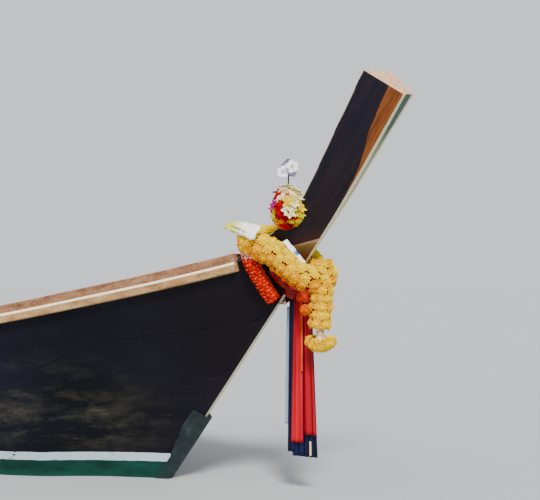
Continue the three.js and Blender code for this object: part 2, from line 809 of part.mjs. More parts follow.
function hullPieces() {
  place('stem_prow', stemProw(), colours.prow, 0.5);
  place('stem_guard', stemGuard(), colours.guard, 0.6);
  place('keel', keel(), colours.black, 0.7);
  placeStrakes();
  place('transom', transom(), colours.black, 0.6);
  placeBoth('rub_rail_upper', sideStrip(0, RAIL_UPPER), colours.rail, 0.6);
  placeBoth('rub_rail_lower', sideStrip(RAIL_UPPER.low + GAP, RAIL_LOWER), colours.rail, 0.6);
  placeBoth('gunwale', gunwale(), colours.rail, 0.6);
  place('frames', frames(), colours.wood, 0.8);
  FLOOR_ENDS.slice(1).forEach((end, i) => {
    place(`floor_panel_${i + 1}`, floorPanel(FLOOR_ENDS[i], end), colours.wood, 0.8);
  });
  place('foredeck', foredeck(), colours.wood, 0.8);
  place('stern_deck', sternDeck(), colours.wood, 0.8);
  THWART_X.forEach((x, i) => place(`thwart_${i + 1}`, thwart(x), colours.wood, 0.7));
  place('stern_beam', sternBeam(), colours.wood, 0.7);
  place('swivel_post', swivelPost(), colours.iron, 0.5, 0.8);
  place('canopy_side_port', canopySide(1), colours.steel, 0.5, 0.6);
  place('canopy_side_starboard', canopySide(-1), colours.steel, 0.5, 0.6);
  place('canopy_bows', canopyBows(), colours.steel, 0.5, 0.6);
  place('canopy_cover', canopyCover(), colours.canvas, 0.9);
  place('battery_box', batteryBox(), colours.plastic, 0.7);
  place('fuel_tank', fuelTank(), colours.canvas, 0.5);
}

// Fork that turns on the post and carries the tilt pin.
function swivelYoke() {
  const { baseLong, baseThick, cheekLong, cheekTop } = YOKE;
  const low = SWIVEL_TOP - PIVOT.z + GAP;
  const pieces = [box(baseLong, 2 * YOKE_CHEEK_Y + YOKE_PLATE, baseThick, 0, 0, low + baseThick / 2)];
  for (const side of [-1, 1]) {
    const middle = (low + cheekTop) / 2;
    pieces.push(box(cheekLong, YOKE_PLATE, cheekTop - low, 0, side * YOKE_CHEEK_Y, middle));
  }
  const hole = rod([0, -2 * YOKE_CHEEK_Y, 0], [0, 2 * YOKE_CHEEK_Y, 0], PIN_RADIUS + GAP, 24);
  return cut(joined(...pieces), hole);
}

// Engine frame with the tilt pin. Local X is forward along the shaft, and the pin is at the origin.
function cradle() {
  const pieces = [];
  const { long, wide, high, x: middle, z } = CRADLE_RAIL;
  const ear = CRADLE_EAR;
  const pinEnd = YOKE_CHEEK_Y + 1.5 * PIN_RADIUS;
  for (const side of [-1, 1]) {
    pieces.push(box(long, wide, high, middle, side * CRADLE_Y, z));
    pieces.push(box(ear.long, ear.thick, ear.high, 0, side * (CRADLE_Y + 8), ear.z));
    pieces.push(rod([0, side * CRADLE_Y, 0], [0, side * pinEnd, 0], PIN_RADIUS, 24));
  }
  for (const x of CRADLE_BARS.x) {
    pieces.push(box(CRADLE_BARS.long, 2 * CRADLE_Y, CRADLE_BARS.high, x, 0, z));
  }
  return joined(...pieces);
}

function casting({ long, wide, high, z }) {
  return box(long, wide, high, ENGINE_X, 0, z);
}

function engineBlock() {
  const rim = ENGINE_RIB;
  const ribs = rim.x.map((x) => box(rim.thick, rim.wide, rim.high, x, 0, rim.z));
  const { long, wide, top, y } = ENGINE_FOOT;
  const low = CRADLE_TOP + GAP;
  const feet = ENGINE_FOOT.x.flatMap((x) => [-1, 1].map((side) => (
    box(long, wide, top - low, x, side * y, (low + top) / 2))));
  return joined(...CASTINGS.map(casting), ...ribs, ...feet);
}

// Cylinder head with its cover, the filler cap and the nuts.
function headCover() {
  const head = casting({ ...HEAD, z: HEAD.z + GAP + HEAD.high / 2 });
  const top = COVER.z + COVER.high / 2;
  const cap = rod([520, 0, top - 10], [520, 0, top + 20], 28, 16);
  const studs = STUD_X.map((x) => rod([x, 0, COVER.z], [x, 0, top + 12], 9, 8));
  return joined(head, casting(COVER), cap, ...studs);
}

function exhaust() {
  const { y, z } = MANIFOLD;
  const runners = MANIFOLD.x.map((x) => rod([x, HEAD.wide / 2 + GAP, z], [x, y, z], 18, 10));
  const log = rod([210, y, z], [600, y, z], 27, 14);
  const pipe = roundAlong([[235, y, z], [150, 165, 255], [110, 180, 340], [100, 185, 470]], 22, 10, 8);
  const muffler = rod([100, 185, 470], [100, 185, 800], 48, 16);
  const spout = roundAlong([[100, 185, 790], [98, 186, 850], [50, 190, 900], [-30, 195, 905]], 20, 10, 10);
  return joined(log, pipe, muffler, spout, ...runners);
}

function airCleaner() {
  const pan = rod([420, -190, 300], [420, -190, 400], 105, 24);
  const lid = rod([420, -190, 395], [420, -190, 412], 112, 24);
  const bend = [[420, -190, 310], [420, -188, 260], [420, -150, 238], [420, -96.4, 236]];
  const neck = roundAlong(bend, 26, 12, 10);
  return joined(pan, lid, neck);
}

// Pulleys on the engine's front with the alternator that the belt drives.
function beltDrive() {
  const pieces = [beltLoop()];
  for (const { y, z, radius, shaft, from } of PULLEYS) {
    pieces.push(rod([from + GAP, y, z], [PULLEY_FORE + 10, y, z], shaft, 16));
    pieces.push(rod([PULLEY_AFT, y, z], [PULLEY_FORE, y, z], radius, 24));
  }
  const { y, z } = PULLEYS[2];
  pieces.push(rod([470, y, z], [PULLEY_AFT, y, z], 62, 20));
  return joined(...pieces);
}

// Flat belt round the pulleys.
function beltLoop() {
  const hull = (extra) => {
    const points = [];
    for (const { y, z, radius } of PULLEYS) {
      for (let i = 0; i < 32; i += 1) {
        const angle = (2 * Math.PI * i) / 32;
        const r = radius + extra;
        points.push(new THREE.Vector2(y + r * Math.cos(angle), z + r * Math.sin(angle)));
      }
    }
    return convexHull(points);
  };
  const shape = new THREE.Shape(hull(BELT.outside));
  shape.holes.push(new THREE.Path(hull(-BELT.inside)));
  const band = new THREE.ExtrudeGeometry(shape, { depth: BELT.wide, bevelEnabled: false });
  return band.rotateX(Math.PI / 2).rotateZ(Math.PI / 2).translate(BELT.aft, 0, 0);
}

function convexHull(points) {
  const sorted = points.slice().sort((a, b) => a.x - b.x || a.y - b.y);
  const cross = (o, a, b) => (a.x - o.x) * (b.y - o.y) - (a.y - o.y) * (b.x - o.x);
  const half = (list) => {
    const chain = [];
    for (const p of list) {
      while (chain.length > 1 && cross(chain[chain.length - 2], chain[chain.length - 1], p) <= 0) {
        chain.pop();
      }
      chain.push(p);
    }
    chain.pop();
    return chain;
  };
  return [...half(sorted), ...half(sorted.slice().reverse())];
}

// Turned shape about the shaft line from rows of place and radius.
function turned(rows, sides = 24) {
  const first = rows[0][0];
  const last = rows[rows.length - 1][0];
  const profile = [[first, 0], ...rows, [last, 0]].map(([x, r]) => new THREE.Vector2(r, x));
  return new THREE.LatheGeometry(profile, sides).rotateZ(-Math.PI / 2);
}

function bellHousing() {
  return turned([[-150, 62], [-120, 62], [-100, 48], [-40, 60], [40, 95], [125, 118], [165 - GAP, 118]]);
}

function tailTube() {
  const tube = rod([-150 - GAP, 0, 0], [-TAIL_LENGTH + 150, 0, 0], TAIL_RADIUS, 20);
  const flange = rod([-150 - GAP, 0, 0], [-172, 0, 0], 62, 24);
  const boss = rod([-TAIL_LENGTH + 150, 0, 0], [-TAIL_LENGTH + 240, 0, 0], 36, 20);
  return joined(tube, flange, boss);
}

// Truss rods under the tail that keep it straight.
function tailBrace() {
  const far = -TAIL_LENGTH + 420;
  const rodLow = roundAlong([[-265.5, 0, -174], [-700, 0, -150], [far, 0, -TAIL_RADIUS - 12]], 11, 16, 8);
  const low = (x) => -137 - (x + 900) * 0.045;
  const struts = [-900, -1600].map((x) => rod([x, 0, low(x)], [x, 0, -TAIL_RADIUS - GAP], 9, 8));
  return joined(rodLow, ...struts);
}

// Fin under the shaft that guards the propeller.
function skeg() {
  const shape = new THREE.Shape();
  const start = -TAIL_LENGTH + 330;
  shape.moveTo(start, -TAIL_RADIUS - GAP);
  shape.lineTo(-TAIL_LENGTH + 243, -TAIL_RADIUS - GAP);
  shape.lineTo(-TAIL_LENGTH + 238, -46);
  shape.lineTo(-TAIL_LENGTH + 165, -60);
  shape.lineTo(-TAIL_LENGTH + 40, -200);
  shape.lineTo(-TAIL_LENGTH + 90, -215);
  shape.closePath();
  const plate = new THREE.ExtrudeGeometry(shape, { depth: 8, bevelEnabled: false });
  return plate.rotateX(Math.PI / 2).translate(0, 4, 0);
}

function tiller() {
  const bracket = box(60, 2 * CRADLE_Y + 40, 14, 755, 0, -158 + GAP);
  const post = rod([755, 0, -158], [770, 0, 60], 20, 12);
  const handle = roundAlong([[768, 0, 40], [900, 0, 150], [1200, 0, 210], [1650, 0, 230]], 19, 24, 10);
  const grip = rod([1480, 0, 224], [1660, 0, 231], 24, 14);
  return joined(bracket, post, handle, grip);
}

function propeller() {
  const hubX = -TAIL_LENGTH + 90;
  const hub = turned([[-TAIL_LENGTH - 40, 12], [-TAIL_LENGTH, 30], [hubX + 50, 34]], 20);
  const shaft = rod([hubX, 0, 0], [-TAIL_LENGTH + 150 - GAP, 0, 0], 15, 16);
  const pieces = [hub, shaft];
  for (let i = 0; i < 3; i += 1) {
    const shape = new THREE.Shape();
    shape.moveTo(-22, 20);
    shape.quadraticCurveTo(-70, 90, -35, 155);
    shape.quadraticCurveTo(10, 175, 45, 140);
    shape.quadraticCurveTo(60, 80, 22, 20);
    shape.closePath();
    const blade = new THREE.ExtrudeGeometry(shape, { depth: 8, bevelEnabled: false, curveSegments: 6 });
    blade.translate(0, 0, -4).rotateY(Math.PI / 2 - 0.55).rotateX((i * 2 * Math.PI) / 3);
    pieces.push(blade.translate(hubX - 30, 0, 0));
  }
  return joined(...pieces);
}

function tailEngine() {
  const swivel = new THREE.Group();
  swivel.position.set(PIVOT.x, 0, PIVOT.z);
  root.add(swivel);
  place('swivel_yoke', swivelYoke(), colours.iron, 0.5, 0.8, swivel);
  const power = new THREE.Group();
  power.rotation.y = THREE.MathUtils.degToRad(-TAIL_DOWN);
  swivel.add(power);
  const steel = [colours.steel, 0.45, 0.8, power];
  const iron = [colours.iron, 0.55, 0.7, power];
  place('engine_cradle', cradle(), ...iron);
  place('engine_block', engineBlock(), ...steel);
  place('engine_head', headCover(), ...steel);
  place('exhaust', exhaust(), ...iron);
  place('air_cleaner', airCleaner(), ...iron);
  place('belt_drive', beltDrive(), ...steel);
  place('bell_housing', bellHousing(), ...steel);
  place('tail_tube', tailTube(), ...steel);
  place('tail_brace', tailBrace(), ...steel);
  place('skeg', skeg(), ...iron);
  place('tiller', tiller(), ...steel);
  place('propeller', propeller(), colours.bronze, 0.35, 0.9, power);
}

// Outline of the bow timbers grown a little, to lay the dressing against.
function bowCore(grow) {
  const stations = ALL_STATIONS.filter((x) => x > 4600 && x < 5240);
  const side = grow * 1.3;
  const wedge = loft([...stations, 5240, 5290].map((x) => {
    const rabbet = rabbetAt(x);
    const low = rabbet - RABBET_TO_FACE - grow;
    const top = Math.max(sheerAt(x), rabbet + 30) - 6;
    const half = Math.max(halfAt(x), STEM_HALF + 1) + side;
    const face = STEM_FACE_HALF + side;
    const stem = STEM_HALF + side;
    const flanks = [0.4, 0.7].map((share) => {
      const z = rabbet + (top - rabbet) * share;
      return [skinHalf(x, z) + side, z];
    });
    const ring = [[face, low], [stem, rabbet - grow], ...flanks, [half, top]];
    return [...ring, ...ring.reverse().map(([y, z]) => [-y, z])].map(([y, z]) => [x + grow, y, z]);
  }));
  const foot = deckTop(PROW_FOOT_X);
  const frontX = STEM_WATER_X + PROW_FRONT_LOW / STEM_RISE;
  const footHalf = skinHalf(PROW_FOOT_X, foot) + side;
  const frontHalf = PROW_FRONT_HALF + side;
  const low = prowRing(frontX + side, PROW_FRONT_LOW, frontHalf, PROW_FOOT_X - side, foot, footHalf);
  const rings = PROW.frontX.map((x, i) => prowRing(x + side, PROW.frontZ[i], PROW.frontHalf[i] + side,
    PROW.aftX[i] - side, PROW.aftZ[i], PROW.aftHalf[i] + side));
  return joined(wedge, loft([low, ...rings]));
}

function ball([x, y, z], [radiusX, radiusY, radiusZ], grow = 0) {
  const sphere = new THREE.SphereGeometry(1, 16, 10);
  return sphere.scale(radiusX + grow, radiusY + grow, radiusZ + grow).translate(x, y, z);
}

// Path that starts and ends in the centre plane, or at a pair of ends, from its port half.
const bothSides = (points) => [
  ...points,
  ...points.slice(points[0][1] === 0 ? 1 : 0, -1).reverse().map(([x, y, z]) => [x, -y, z]),
];

// Ring of the main garland, from behind the prow, over the gunwales and down to the stem.
function mainRing(grow) {
  const loop = bothSides([[4842, 0, 1512], [4850, 120, 1505], [4900, 215, 1484], [4960, 212, 1457],
    [5050, 167, 1399], [5140, 125, 1318], [5215, 80, 1268], [5262, 0, 1298]]);
  return roundAlong(loop, GARLAND_RADIUS + grow, 38, 8, true);
}

// Main garland with its hanging end, tassel and the cloth end that sticks out aft.
function mainGarland(core) {
  const end = rod([5268, -28, 1352], [5262, -40, 1010], 49, 12);
  const buds = rod([5262, -40, 1020], [5264, -40, 890], 26, 8);
  const tassel = ball([5265, -40, 893], [92, 62, 43]);
  const tail = rod([4914, -160, 1525], [4690, -122, 1588], 22, 8);
  return cut(joined(mainRing(0), end, buds, tassel, tail), core);
}

// Flower ropes down both sides of the bow to the stem, with the string that ties them in front.
function redRopes(grow) {
  const half = [[4884, 226, 1462], [4892, 205, 1368], [4910, 165, 1297], [4938, 120, 1220], [4964, 80, 1156]];
  const sides = [1, -1].map((side) => (
    roundAlong(half.map(([x, y, z]) => [x, side * y, z]), RED_RADIUS + grow, 14, 8)));
  const string = roundAlong(bothSides([[4964, 80, 1156], [4988, 32, 1128], [4992, 0, 1120]]), 7, 10, 6);
  return joined(...sides, string);
}

function redGarland(core) {
  return cut(redRopes(0), core, mainRing(SOFT_GAP));
}

// Sash wound round the stem under the garland, with its knot in front.
function wrap(grow) {
  const half = [[4972, 128, 1325], [5010, 100, 1288], [5058, 76, 1236], [5092, 40, 1205], [5104, 0, 1198]];
  const sash = roundAlong(bothSides(half), SASH_RADIUS + grow, 20, 8);
  return joined(sash, ball([5078, 0, 1203], [74, 66, 60], grow));
}

function clothKnot(core) {
  return cut(wrap(0), core, mainRing(SOFT_GAP), redRopes(SOFT_GAP));
}

// Cloth tails below the knot. Rows: height, aft edge and fore edge.
function hangingCloth() {
  const outer = [];
  const inner = [];
  const rows = [[1180, 5030, 5160], [1080, 5026, 5170], [1000, 5020, 5178], [700, 5010, 5196],
    [400, 5003, 5208], [205, 4998, 5215]];
  const { near, far, folds, deep } = CLOTH;
  for (const [z, aft, fore] of rows) {
    const outerRow = [];
    const innerRow = [];
    for (let i = 0; i <= folds; i += 1) {
      const x = aft + ((fore - aft) * i) / folds;
      const wave = i % 2 === 0 ? deep : -deep;
      outerRow.push([x, near + wave, z]);
      innerRow.push([x, far + wave, z]);
    }
    outer.push(outerRow);
    inner.push(innerRow);
  }
  return cut(shell(outer, inner), wrap(GAP));
}

// Bouquet tied on the prow's aft edge, with a spray of orchids above it.
function flowerCluster(core) {
  const cluster = ball([5100, -130, 1681], [100, 100, 133]);
  const stalk = rod([5098, -122, 1780], [5088, -104, 1860], 12, 8);
  const orchid = ball([5086, -100, 1907], [62, 62, 62]);
  return cut(joined(cluster, stalk, orchid), core);
}

function dressing() {
  const core = bowCore(2 * GAP);
  place('garland_main', mainGarland(core), colours.marigold, 0.9);
  place('garland_red', redGarland(core), colours.redFlower, 0.9);
  place('cloth_knot', clothKnot(core), colours.darkRed, 0.9);
  place('hanging_cloth', hangingCloth(), colours.redCloth, 0.9);
  place('flower_cluster', flowerCluster(core), colours.redFlower, 0.9);
}

hullPieces();
tailEngine();
dressing();

export default root;
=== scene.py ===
import math

import bpy
import numpy as np
from mathutils import Matrix, Vector
from mathutils.bvhtree import BVHTree


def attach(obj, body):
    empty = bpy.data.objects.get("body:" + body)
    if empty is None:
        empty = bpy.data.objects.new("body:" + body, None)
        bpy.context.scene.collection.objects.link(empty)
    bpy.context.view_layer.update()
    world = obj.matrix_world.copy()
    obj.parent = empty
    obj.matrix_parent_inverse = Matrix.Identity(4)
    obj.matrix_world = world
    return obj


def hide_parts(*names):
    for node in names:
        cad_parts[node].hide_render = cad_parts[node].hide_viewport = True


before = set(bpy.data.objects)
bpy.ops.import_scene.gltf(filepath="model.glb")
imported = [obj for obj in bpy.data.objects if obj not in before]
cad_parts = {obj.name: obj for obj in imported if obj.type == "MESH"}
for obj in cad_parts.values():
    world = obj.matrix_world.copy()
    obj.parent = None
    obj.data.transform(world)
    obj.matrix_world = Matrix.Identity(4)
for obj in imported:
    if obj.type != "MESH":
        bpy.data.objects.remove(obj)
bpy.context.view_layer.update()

# Metres. +X is the bow, +Y is port, +Z is up, and the waterline is at Z 0.
# Hull lines at each station: place, half-breadth at the sheer, height of the sheer,
# lower end of the planking, and fullness (1 is a straight V section, smaller is rounder).
HULL = {
    "x": (-4.9, -3.5, -1.5, 1.0, 2.4, 3.4, 4.0, 4.4, 4.8, 5.28),
    "half": (0.64, 0.865, 0.985, 0.99, 0.925, 0.775, 0.59, 0.405, 0.225, 0.036),
    "sheer": (0.8, 0.722, 0.7, 0.777, 0.926, 1.092, 1.218, 1.313, 1.418, 1.557),
    "base": (-0.07, -0.19, -0.255, -0.255, -0.255, -0.255, -0.25, -0.24, -0.225, -0.2),
    "fullness": (0.38, 0.34, 0.33, 0.34, 0.34, 0.46, 1.2, 1.1, 1, 1),
}
# Prow sections from the foot up: front and aft ends in the centre plane, with their half-breadths.
PROW = {
    "x": (0, 1, 2, 3, 4, 5),
    "front_x": (5.2656, 5.335, 5.412, 5.507, 5.656, 5.806),
    "front_z": (1.523, 1.617, 1.724, 1.861, 2.083, 2.305),
    "front_half": (0.024, 0.028, 0.035, 0.042, 0.053, 0.064),
    "aft_x": (4.8, 4.96, 5.095, 5.212, 5.412, 5.613),
    "aft_z": (1.3886, 1.5, 1.61, 1.76, 2.107, 2.455),
    "aft_half": (0.217, 0.17, 0.146, 0.135, 0.147, 0.16),
}
# The prow's top is cut at a slant: rise for each metre to port, and the way in which it rises.
PROW_SLANT = 0.1375
SLANT_AHEAD = 0.57
SLANT_UP = 0.82
# How far the varnish reaches back from the prow's front edge: shares of its height, then of its width.
VARNISH_EDGE = (
    (0.0, -0.12), (0.2, -0.09), (0.34, -0.02), (0.5, 0.035), (0.62, 0.07), (0.7, 0.13), (0.81, 0.27),
    (1.0, 0.36),
)
# Planking: the lower and upper share of each strake, and where its lengths butt.
STRAKES = {
    "garboard": (0.0, 0.25, ()),
    "bilge": (0.25, 0.5, (-2.4, 1.1)),
    "topside": (0.5, 0.75, ()),
    "sheer": (0.75, 1.0, ()),
}
LENGTHS = ("aft", "mid", "fore")
STERN_X = -4.9
TRANSOM_THICK = 0.045
STEM_WATER_X = 4.14
STEM_RISE = 1.353
FOREFOOT_ROUND = 0.06
STEM_HALF = 0.0335
STEM_FACE_HALF = 0.018
STEM_TOP_X = 5.3
RABBET_BACK = 0.035
RABBET_HALF = 0.034
STEM_DEPTH = 0.09
PLANK = 0.028
PLANK_TOP_DROP = 0.03
STEM_SCARF_X = 3.3
PROW_FOOT_X = 4.8
STEM_HEAD_X = 4.7
SEAM = 0.0006
GAP = 0.0004
PLANK_AFT = STERN_X + TRANSOM_THICK + GAP
CAP_WIDTH = 0.085
RAIL_SPACING = 0.06
STRIPE_LOW = 0.112
STRIPE_HIGH = 0.167
STRIPE_SOFT = 0.001
SIDES = {"port": 1, "starboard": -1}
# Rub rails: drop of the upper and lower edge below the sheer, how far they stand out, chamfer, and 1 where a
# painted highlight runs along the upper edge.
RAILS = {
    "upper": (0, 0.049, 0.032, 0.003, 0),
    "lower": (0.0494, 0.105, 0.046, 0.013, 1),
}
# How far the forefoot's sheathing reaches back from the stem's face at each height.
GUARD_REACH = {
    "z": (-0.11, 0.1, 0.18, 0.24, 0.3, 0.36, 0.405),
    "back": (0.05, 0.05, 0.052, 0.066, 0.09, 0.092, 0.074),
}
GUARD_LEAN = 0.42
GUARD_LEAN_FROM = 0.25
GUARD_CLEAR = 0.0035
GUARD_THICK = 0.0075
GUARD_NOSE = 0.035

# Dressing on the prow. A half line runs down the port side and is repeated on the starboard side.
GARLAND_HALF = ((4.842, 0, 1.512), (4.85, 0.12, 1.505), (4.9, 0.215, 1.484), (4.96, 0.212, 1.457),
                (5.05, 0.167, 1.399), (5.14, 0.125, 1.318), (5.215, 0.08, 1.268), (5.262, 0, 1.298))
GARLAND_BEND = (4.905, 0.205, 1.482)
GARLAND_END = ((5.268, -0.028, 1.352), (5.272, -0.032, 1.2), (5.262, -0.04, 1.01))
GARLAND_RADIUS = 0.076
BUDS_TOP = Vector((5.262, -0.04, 1.03))
TASSEL = Vector((5.265, -0.04, 0.893))
TASSEL_LEANS = (-0.062, -0.036, -0.01, 0.018, 0.044, 0.066)
POMPOM = Vector((5.18, -0.06, 1.087))
RED_HALF = ((4.884, 0.226, 1.462), (4.892, 0.205, 1.368), (4.91, 0.165, 1.297), (4.938, 0.12, 1.22),
            (4.964, 0.08, 1.156))
RED_STRING = ((4.964, 0.08, 1.156), (4.988, 0.05, 1.128), (4.999, 0, 1.118))
RED_RADIUS = 0.043
RED_HEAD = 0.0165
SASH_HALF = ((4.972, 0.128, 1.325), (5.01, 0.1, 1.288), (5.058, 0.076, 1.236), (5.092, 0.04, 1.205),
             (5.104, 0, 1.198))
KNOT = (5.078, 0, 1.203)
KNOT_RADII = (0.07, 0.062, 0.056)
KNOT_LOOP = ((5.07, -0.055, 1.242), (5.125, -0.085, 1.234), (5.182, -0.082, 1.205), (5.178, -0.058, 1.165),
             (5.118, -0.045, 1.162))
RIBBON = ((5.09, -0.15, 1.492), (5.122, -0.145, 1.456), (5.146, -0.138, 1.426), (5.176, -0.126, 1.388),
          (5.2, -0.114, 1.352))
CLUSTER = Vector((5.1, -0.13, 1.681))
CLUSTER_RADII = Vector((0.076, 0.076, 0.106))
# Where each kind of flower sits in the cluster: how far forward and up from its middle, in its radii.
CLUSTER_KINDS = (
    ("white", -0.25, 0.75), ("white", 0.3, 0.8), ("white", 0.75, 0.4), ("yellow", 0.05, 0.35),
    ("red", -0.6, 0.2), ("magenta", -1.1, 0.5), ("white", 0.25, -0.05), ("yellow", 0.65, -0.3),
    ("orange", 0.9, -0.55), ("yellow", -0.85, -0.45), ("red", -0.1, -0.5), ("red", -0.1, -0.9),
    ("orange", -0.7, -0.9),
)
ORCHIDS = Vector((5.086, -0.1, 1.907))
# Each orchid's place from the middle of the spray, and the way it faces.
ORCHID_HEADS = (
    ((-0.028, -0.012, -0.014), (0.35, -0.9, 0.25)), ((0.03, -0.006, 0.016), (0.62, -0.75, 0.2)),
    ((0.0, 0.03, 0.0), (-0.2, 0.95, 0.2)), ((-0.02, 0.02, 0.03), (-0.8, 0.2, 0.5)),
)
STALK = ((5.098, -0.122, 1.77), (5.09, -0.108, 1.83), (5.086, -0.1, 1.9))
# Hanging cloths: name, colour, top, bottom, folds and their depth. Ends are height, aft X, fore X and Y.
CLOTHS = (
    ("cloth_navy_back", "navy", (1.21, 5.04, 5.15, 0.048), (0.215, 5.026, 5.2, 0.046), 5, 0.006),
    ("cloth_pale_edge", "pale", (1.1, 4.985, 5.022, 0.056), (0.4, 4.972, 5.012, 0.056), 1, 0.003),
    ("cloth_navy_edge", "navy", (1.16, 5.016, 5.056, 0.036), (0.24, 5.004, 5.05, 0.036), 2, 0.005),
    ("cloth_red_left", "red", (1.165, 5.056, 5.106, 0.027), (0.3, 5.034, 5.112, 0.025), 3, 0.006),
    ("cloth_red_right", "red", (1.2, 5.112, 5.156, 0.03), (0.35, 5.116, 5.2, 0.026), 2, 0.008),
    ("cloth_piping", "bright", (1.15, 5.1, 5.112, 0.018), (0.72, 5.104, 5.115, 0.018), 1, 0.003),
    ("cloth_gold_bit", "gold", (0.31, 5.15, 5.161, 0.036), (0.225, 5.151, 5.162, 0.036), 1, 0.002),
)

CANOPY_AFT = -2.6
CANOPY_FORE = 1.4
CANOPY_BOWS = np.array((CANOPY_AFT + 0.06, -2.325, -1.5, -0.325, 0.3, 1.175))
CANOPY_HALF = 0.9
CANOPY_EAVE = 1.96
CANOPY_CROWN = 2.12
CANOPY_VALANCE = 0.11
CANOPY_CLEAR = 0.006

# The eye: where the camera stands, how it is turned, and its lens for a 36 mm sensor.
VIEW_TURN = math.radians(31)
VIEW_TILT = math.radians(0.78)
VIEW_AIM = Vector((4.90, 0, 1.35))
VIEW_FAR = 6.6
VIEW_LENS = 73.33
SENSOR = 36
# Lamps: name, place, strength, width in degrees and colour.
LAMPS = (
    ("key", (5.0, -6.5, 8.0), 5.0, 14, (1, 0.965, 0.9)),
    ("fill", (-6.0, -5.0, 3.0), 0.6, 60, (0.92, 0.96, 1)),
)


def linked(name, data):
    """A new object in the scene."""
    made = bpy.data.objects.new(name, data)
    bpy.context.scene.collection.objects.link(made)
    return made


def make_camera():
    camera = bpy.data.cameras.new("camera")
    camera.sensor_width = SENSOR
    camera.lens = VIEW_LENS
    camera.clip_end = 200
    eye = linked("camera", camera)
    ahead = Vector((-math.sin(VIEW_TURN), math.cos(VIEW_TURN), 0))
    eye.location = VIEW_AIM - ahead * VIEW_FAR
    gaze = ahead * math.cos(VIEW_TILT) + Vector((0, 0, math.sin(VIEW_TILT)))
    eye.rotation_euler = gaze.to_track_quat("-Z", "Y").to_euler()
    bpy.context.scene.camera = eye


def make_lights():
    world = bpy.data.worlds.new("studio")
    bpy.context.scene.world = world
    world.use_nodes = True
    sky = world.node_tree.nodes["Background"]
    sky.inputs["Color"].default_value = (0.9, 0.93, 0.96, 1)
    sky.inputs["Strength"].default_value = 1.0
    for name, place, power, width, colour in LAMPS:
        sun = bpy.data.lights.new(name, "SUN")
        sun.energy = power
        sun.angle = math.radians(width)
        sun.color = colour
        holder = linked(name, sun)
        holder.location = place
        holder.rotation_euler = Vector(place).to_track_quat("Z", "Y").to_euler()


# Shapes


def along(table, column, x):
    """Cubic through a column of a table, with slopes from the neighbours."""
    xs = np.array(table["x"], float)
    ys = np.array(table[column], float)
    x = np.asarray(x, float)
    last = len(xs) - 1
    i = np.clip(np.searchsorted(xs, x, side="left") - 1, 0, last - 1)
    low = np.maximum(np.arange(last + 1) - 1, 0)
    high = np.minimum(np.arange(last + 1) + 1, last)
    slope = (ys[high] - ys[low]) / (xs[high] - xs[low])
    h = xs[i + 1] - xs[i]
    u = np.clip((x - xs[i]) / h, 0, 1)
    u2 = u * u
    u3 = u2 * u
    return ((2 * u3 - 3 * u2 + 1) * ys[i] + (u3 - 2 * u2 + u) * h * slope[i]
            + (3 * u2 - 2 * u3) * ys[i + 1] + (u3 - u2) * h * slope[i + 1])


def sheer_at(x):
    return along(HULL, "sheer", x)


def fullness_at(x):
    return np.sqrt(along(HULL, "fullness", x))


def rabbet_at(x):
    """Height of the rabbet, where the planking leaves the keel and the stem."""
    keel = along(HULL, "base", x)
    stem = (x + RABBET_BACK - STEM_WATER_X) * STEM_RISE
    return (stem + keel) / 2 + np.hypot((stem - keel) / 2, FOREFOOT_ROUND)


def hull_point(x, t):
    """Outer hull point at a station, t from 0 at the rabbet to 1 at the sheer."""
    full = fullness_at(x)
    rabbet = rabbet_at(x)
    y = RABBET_HALF + (along(HULL, "half", x) - RABBET_HALF) * np.power(t, full)
    z = rabbet + (sheer_at(x) - rabbet) * np.power(t, 1 / full)
    return y, z


def inner_point(x, t, depth):
    """Point at a depth inside the outer skin, square to it in the station's plane."""
    step = 0.004
    nearest = 0.0005
    ya, za = hull_point(x, np.maximum(t - step, nearest))
    yb, zb = hull_point(x, np.maximum(t, nearest) + step)
    length = np.hypot(yb - ya, zb - za)
    y, z = hull_point(x, t)
    return y - depth * (zb - za) / length, z + depth * (yb - ya) / length


def share_at(x, z):
    """The share t at which the outer hull has the height z."""
    rabbet = rabbet_at(x)
    share = np.clip((z - rabbet) / (sheer_at(x) - rabbet), 0, 1)
    return np.power(share, fullness_at(x))


def skin_half(x, z):
    return hull_point(x, share_at(x, z))[0]


def seam_height(x, share):
    base = along(HULL, "base", x)
    return base + (sheer_at(x) - base) * np.power(share, 1 / fullness_at(x))


def halving(low, high, is_low):
    """The place between low and high where is_low stops being true."""
    for _ in range(40):
        middle = (low + high) / 2
        low, high = (middle, high) if is_low(middle) else (low, middle)
    return low


def stem_face_x(z):
    return halving(3.3, 5.4, lambda x: rabbet_at(x) - RABBET_BACK * STEM_RISE < z)


def stations(start, end, spacing):
    return np.append(np.arange(start, end, spacing), end)


def unit(vectors):
    return vectors / np.linalg.norm(vectors, axis=1)[:, None]


def gridded(x, y, z):
    """Points from arrays of coordinates that fit each other."""
    return np.stack(np.broadcast_arrays(x, y, z), -1)


def swept(x, rows):
    """Rings along the boat, with a point for each row of sideways places and heights."""
    return np.stack([gridded(x, y, z) for y, z in rows], 1)


def new_piece(name, points, faces, material, smooth_angle=35, bevel=0.0, replaces=(), slot=None,
              attributes=None):
    """A mesh object in the shared frame that rides on the root."""
    mesh = bpy.data.meshes.new(name)
    mesh.from_pydata([tuple(p) for p in points], [], [tuple(f) for f in faces])
    for key, values in (attributes or {}).items():
        layer = mesh.attributes.new(key, "FLOAT", "POINT")
        layer.data.foreach_set("value", np.asarray(values, np.float32))
    piece = linked(name, mesh)
    for each in material if isinstance(material, (list, tuple)) else [material]:
        mesh.materials.append(each)
    mesh.shade_smooth()
    mesh.set_sharp_from_angle(angle=math.radians(smooth_angle))
    if bevel:
        edges = piece.modifiers.new("edges", "BEVEL")
        edges.width = bevel
        edges.segments = 2
        edges.limit_method = "ANGLE"
        edges.angle_limit = math.radians(40)
        edges.harden_normals = False
    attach(piece, "root")
    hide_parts(*replaces)
    return piece


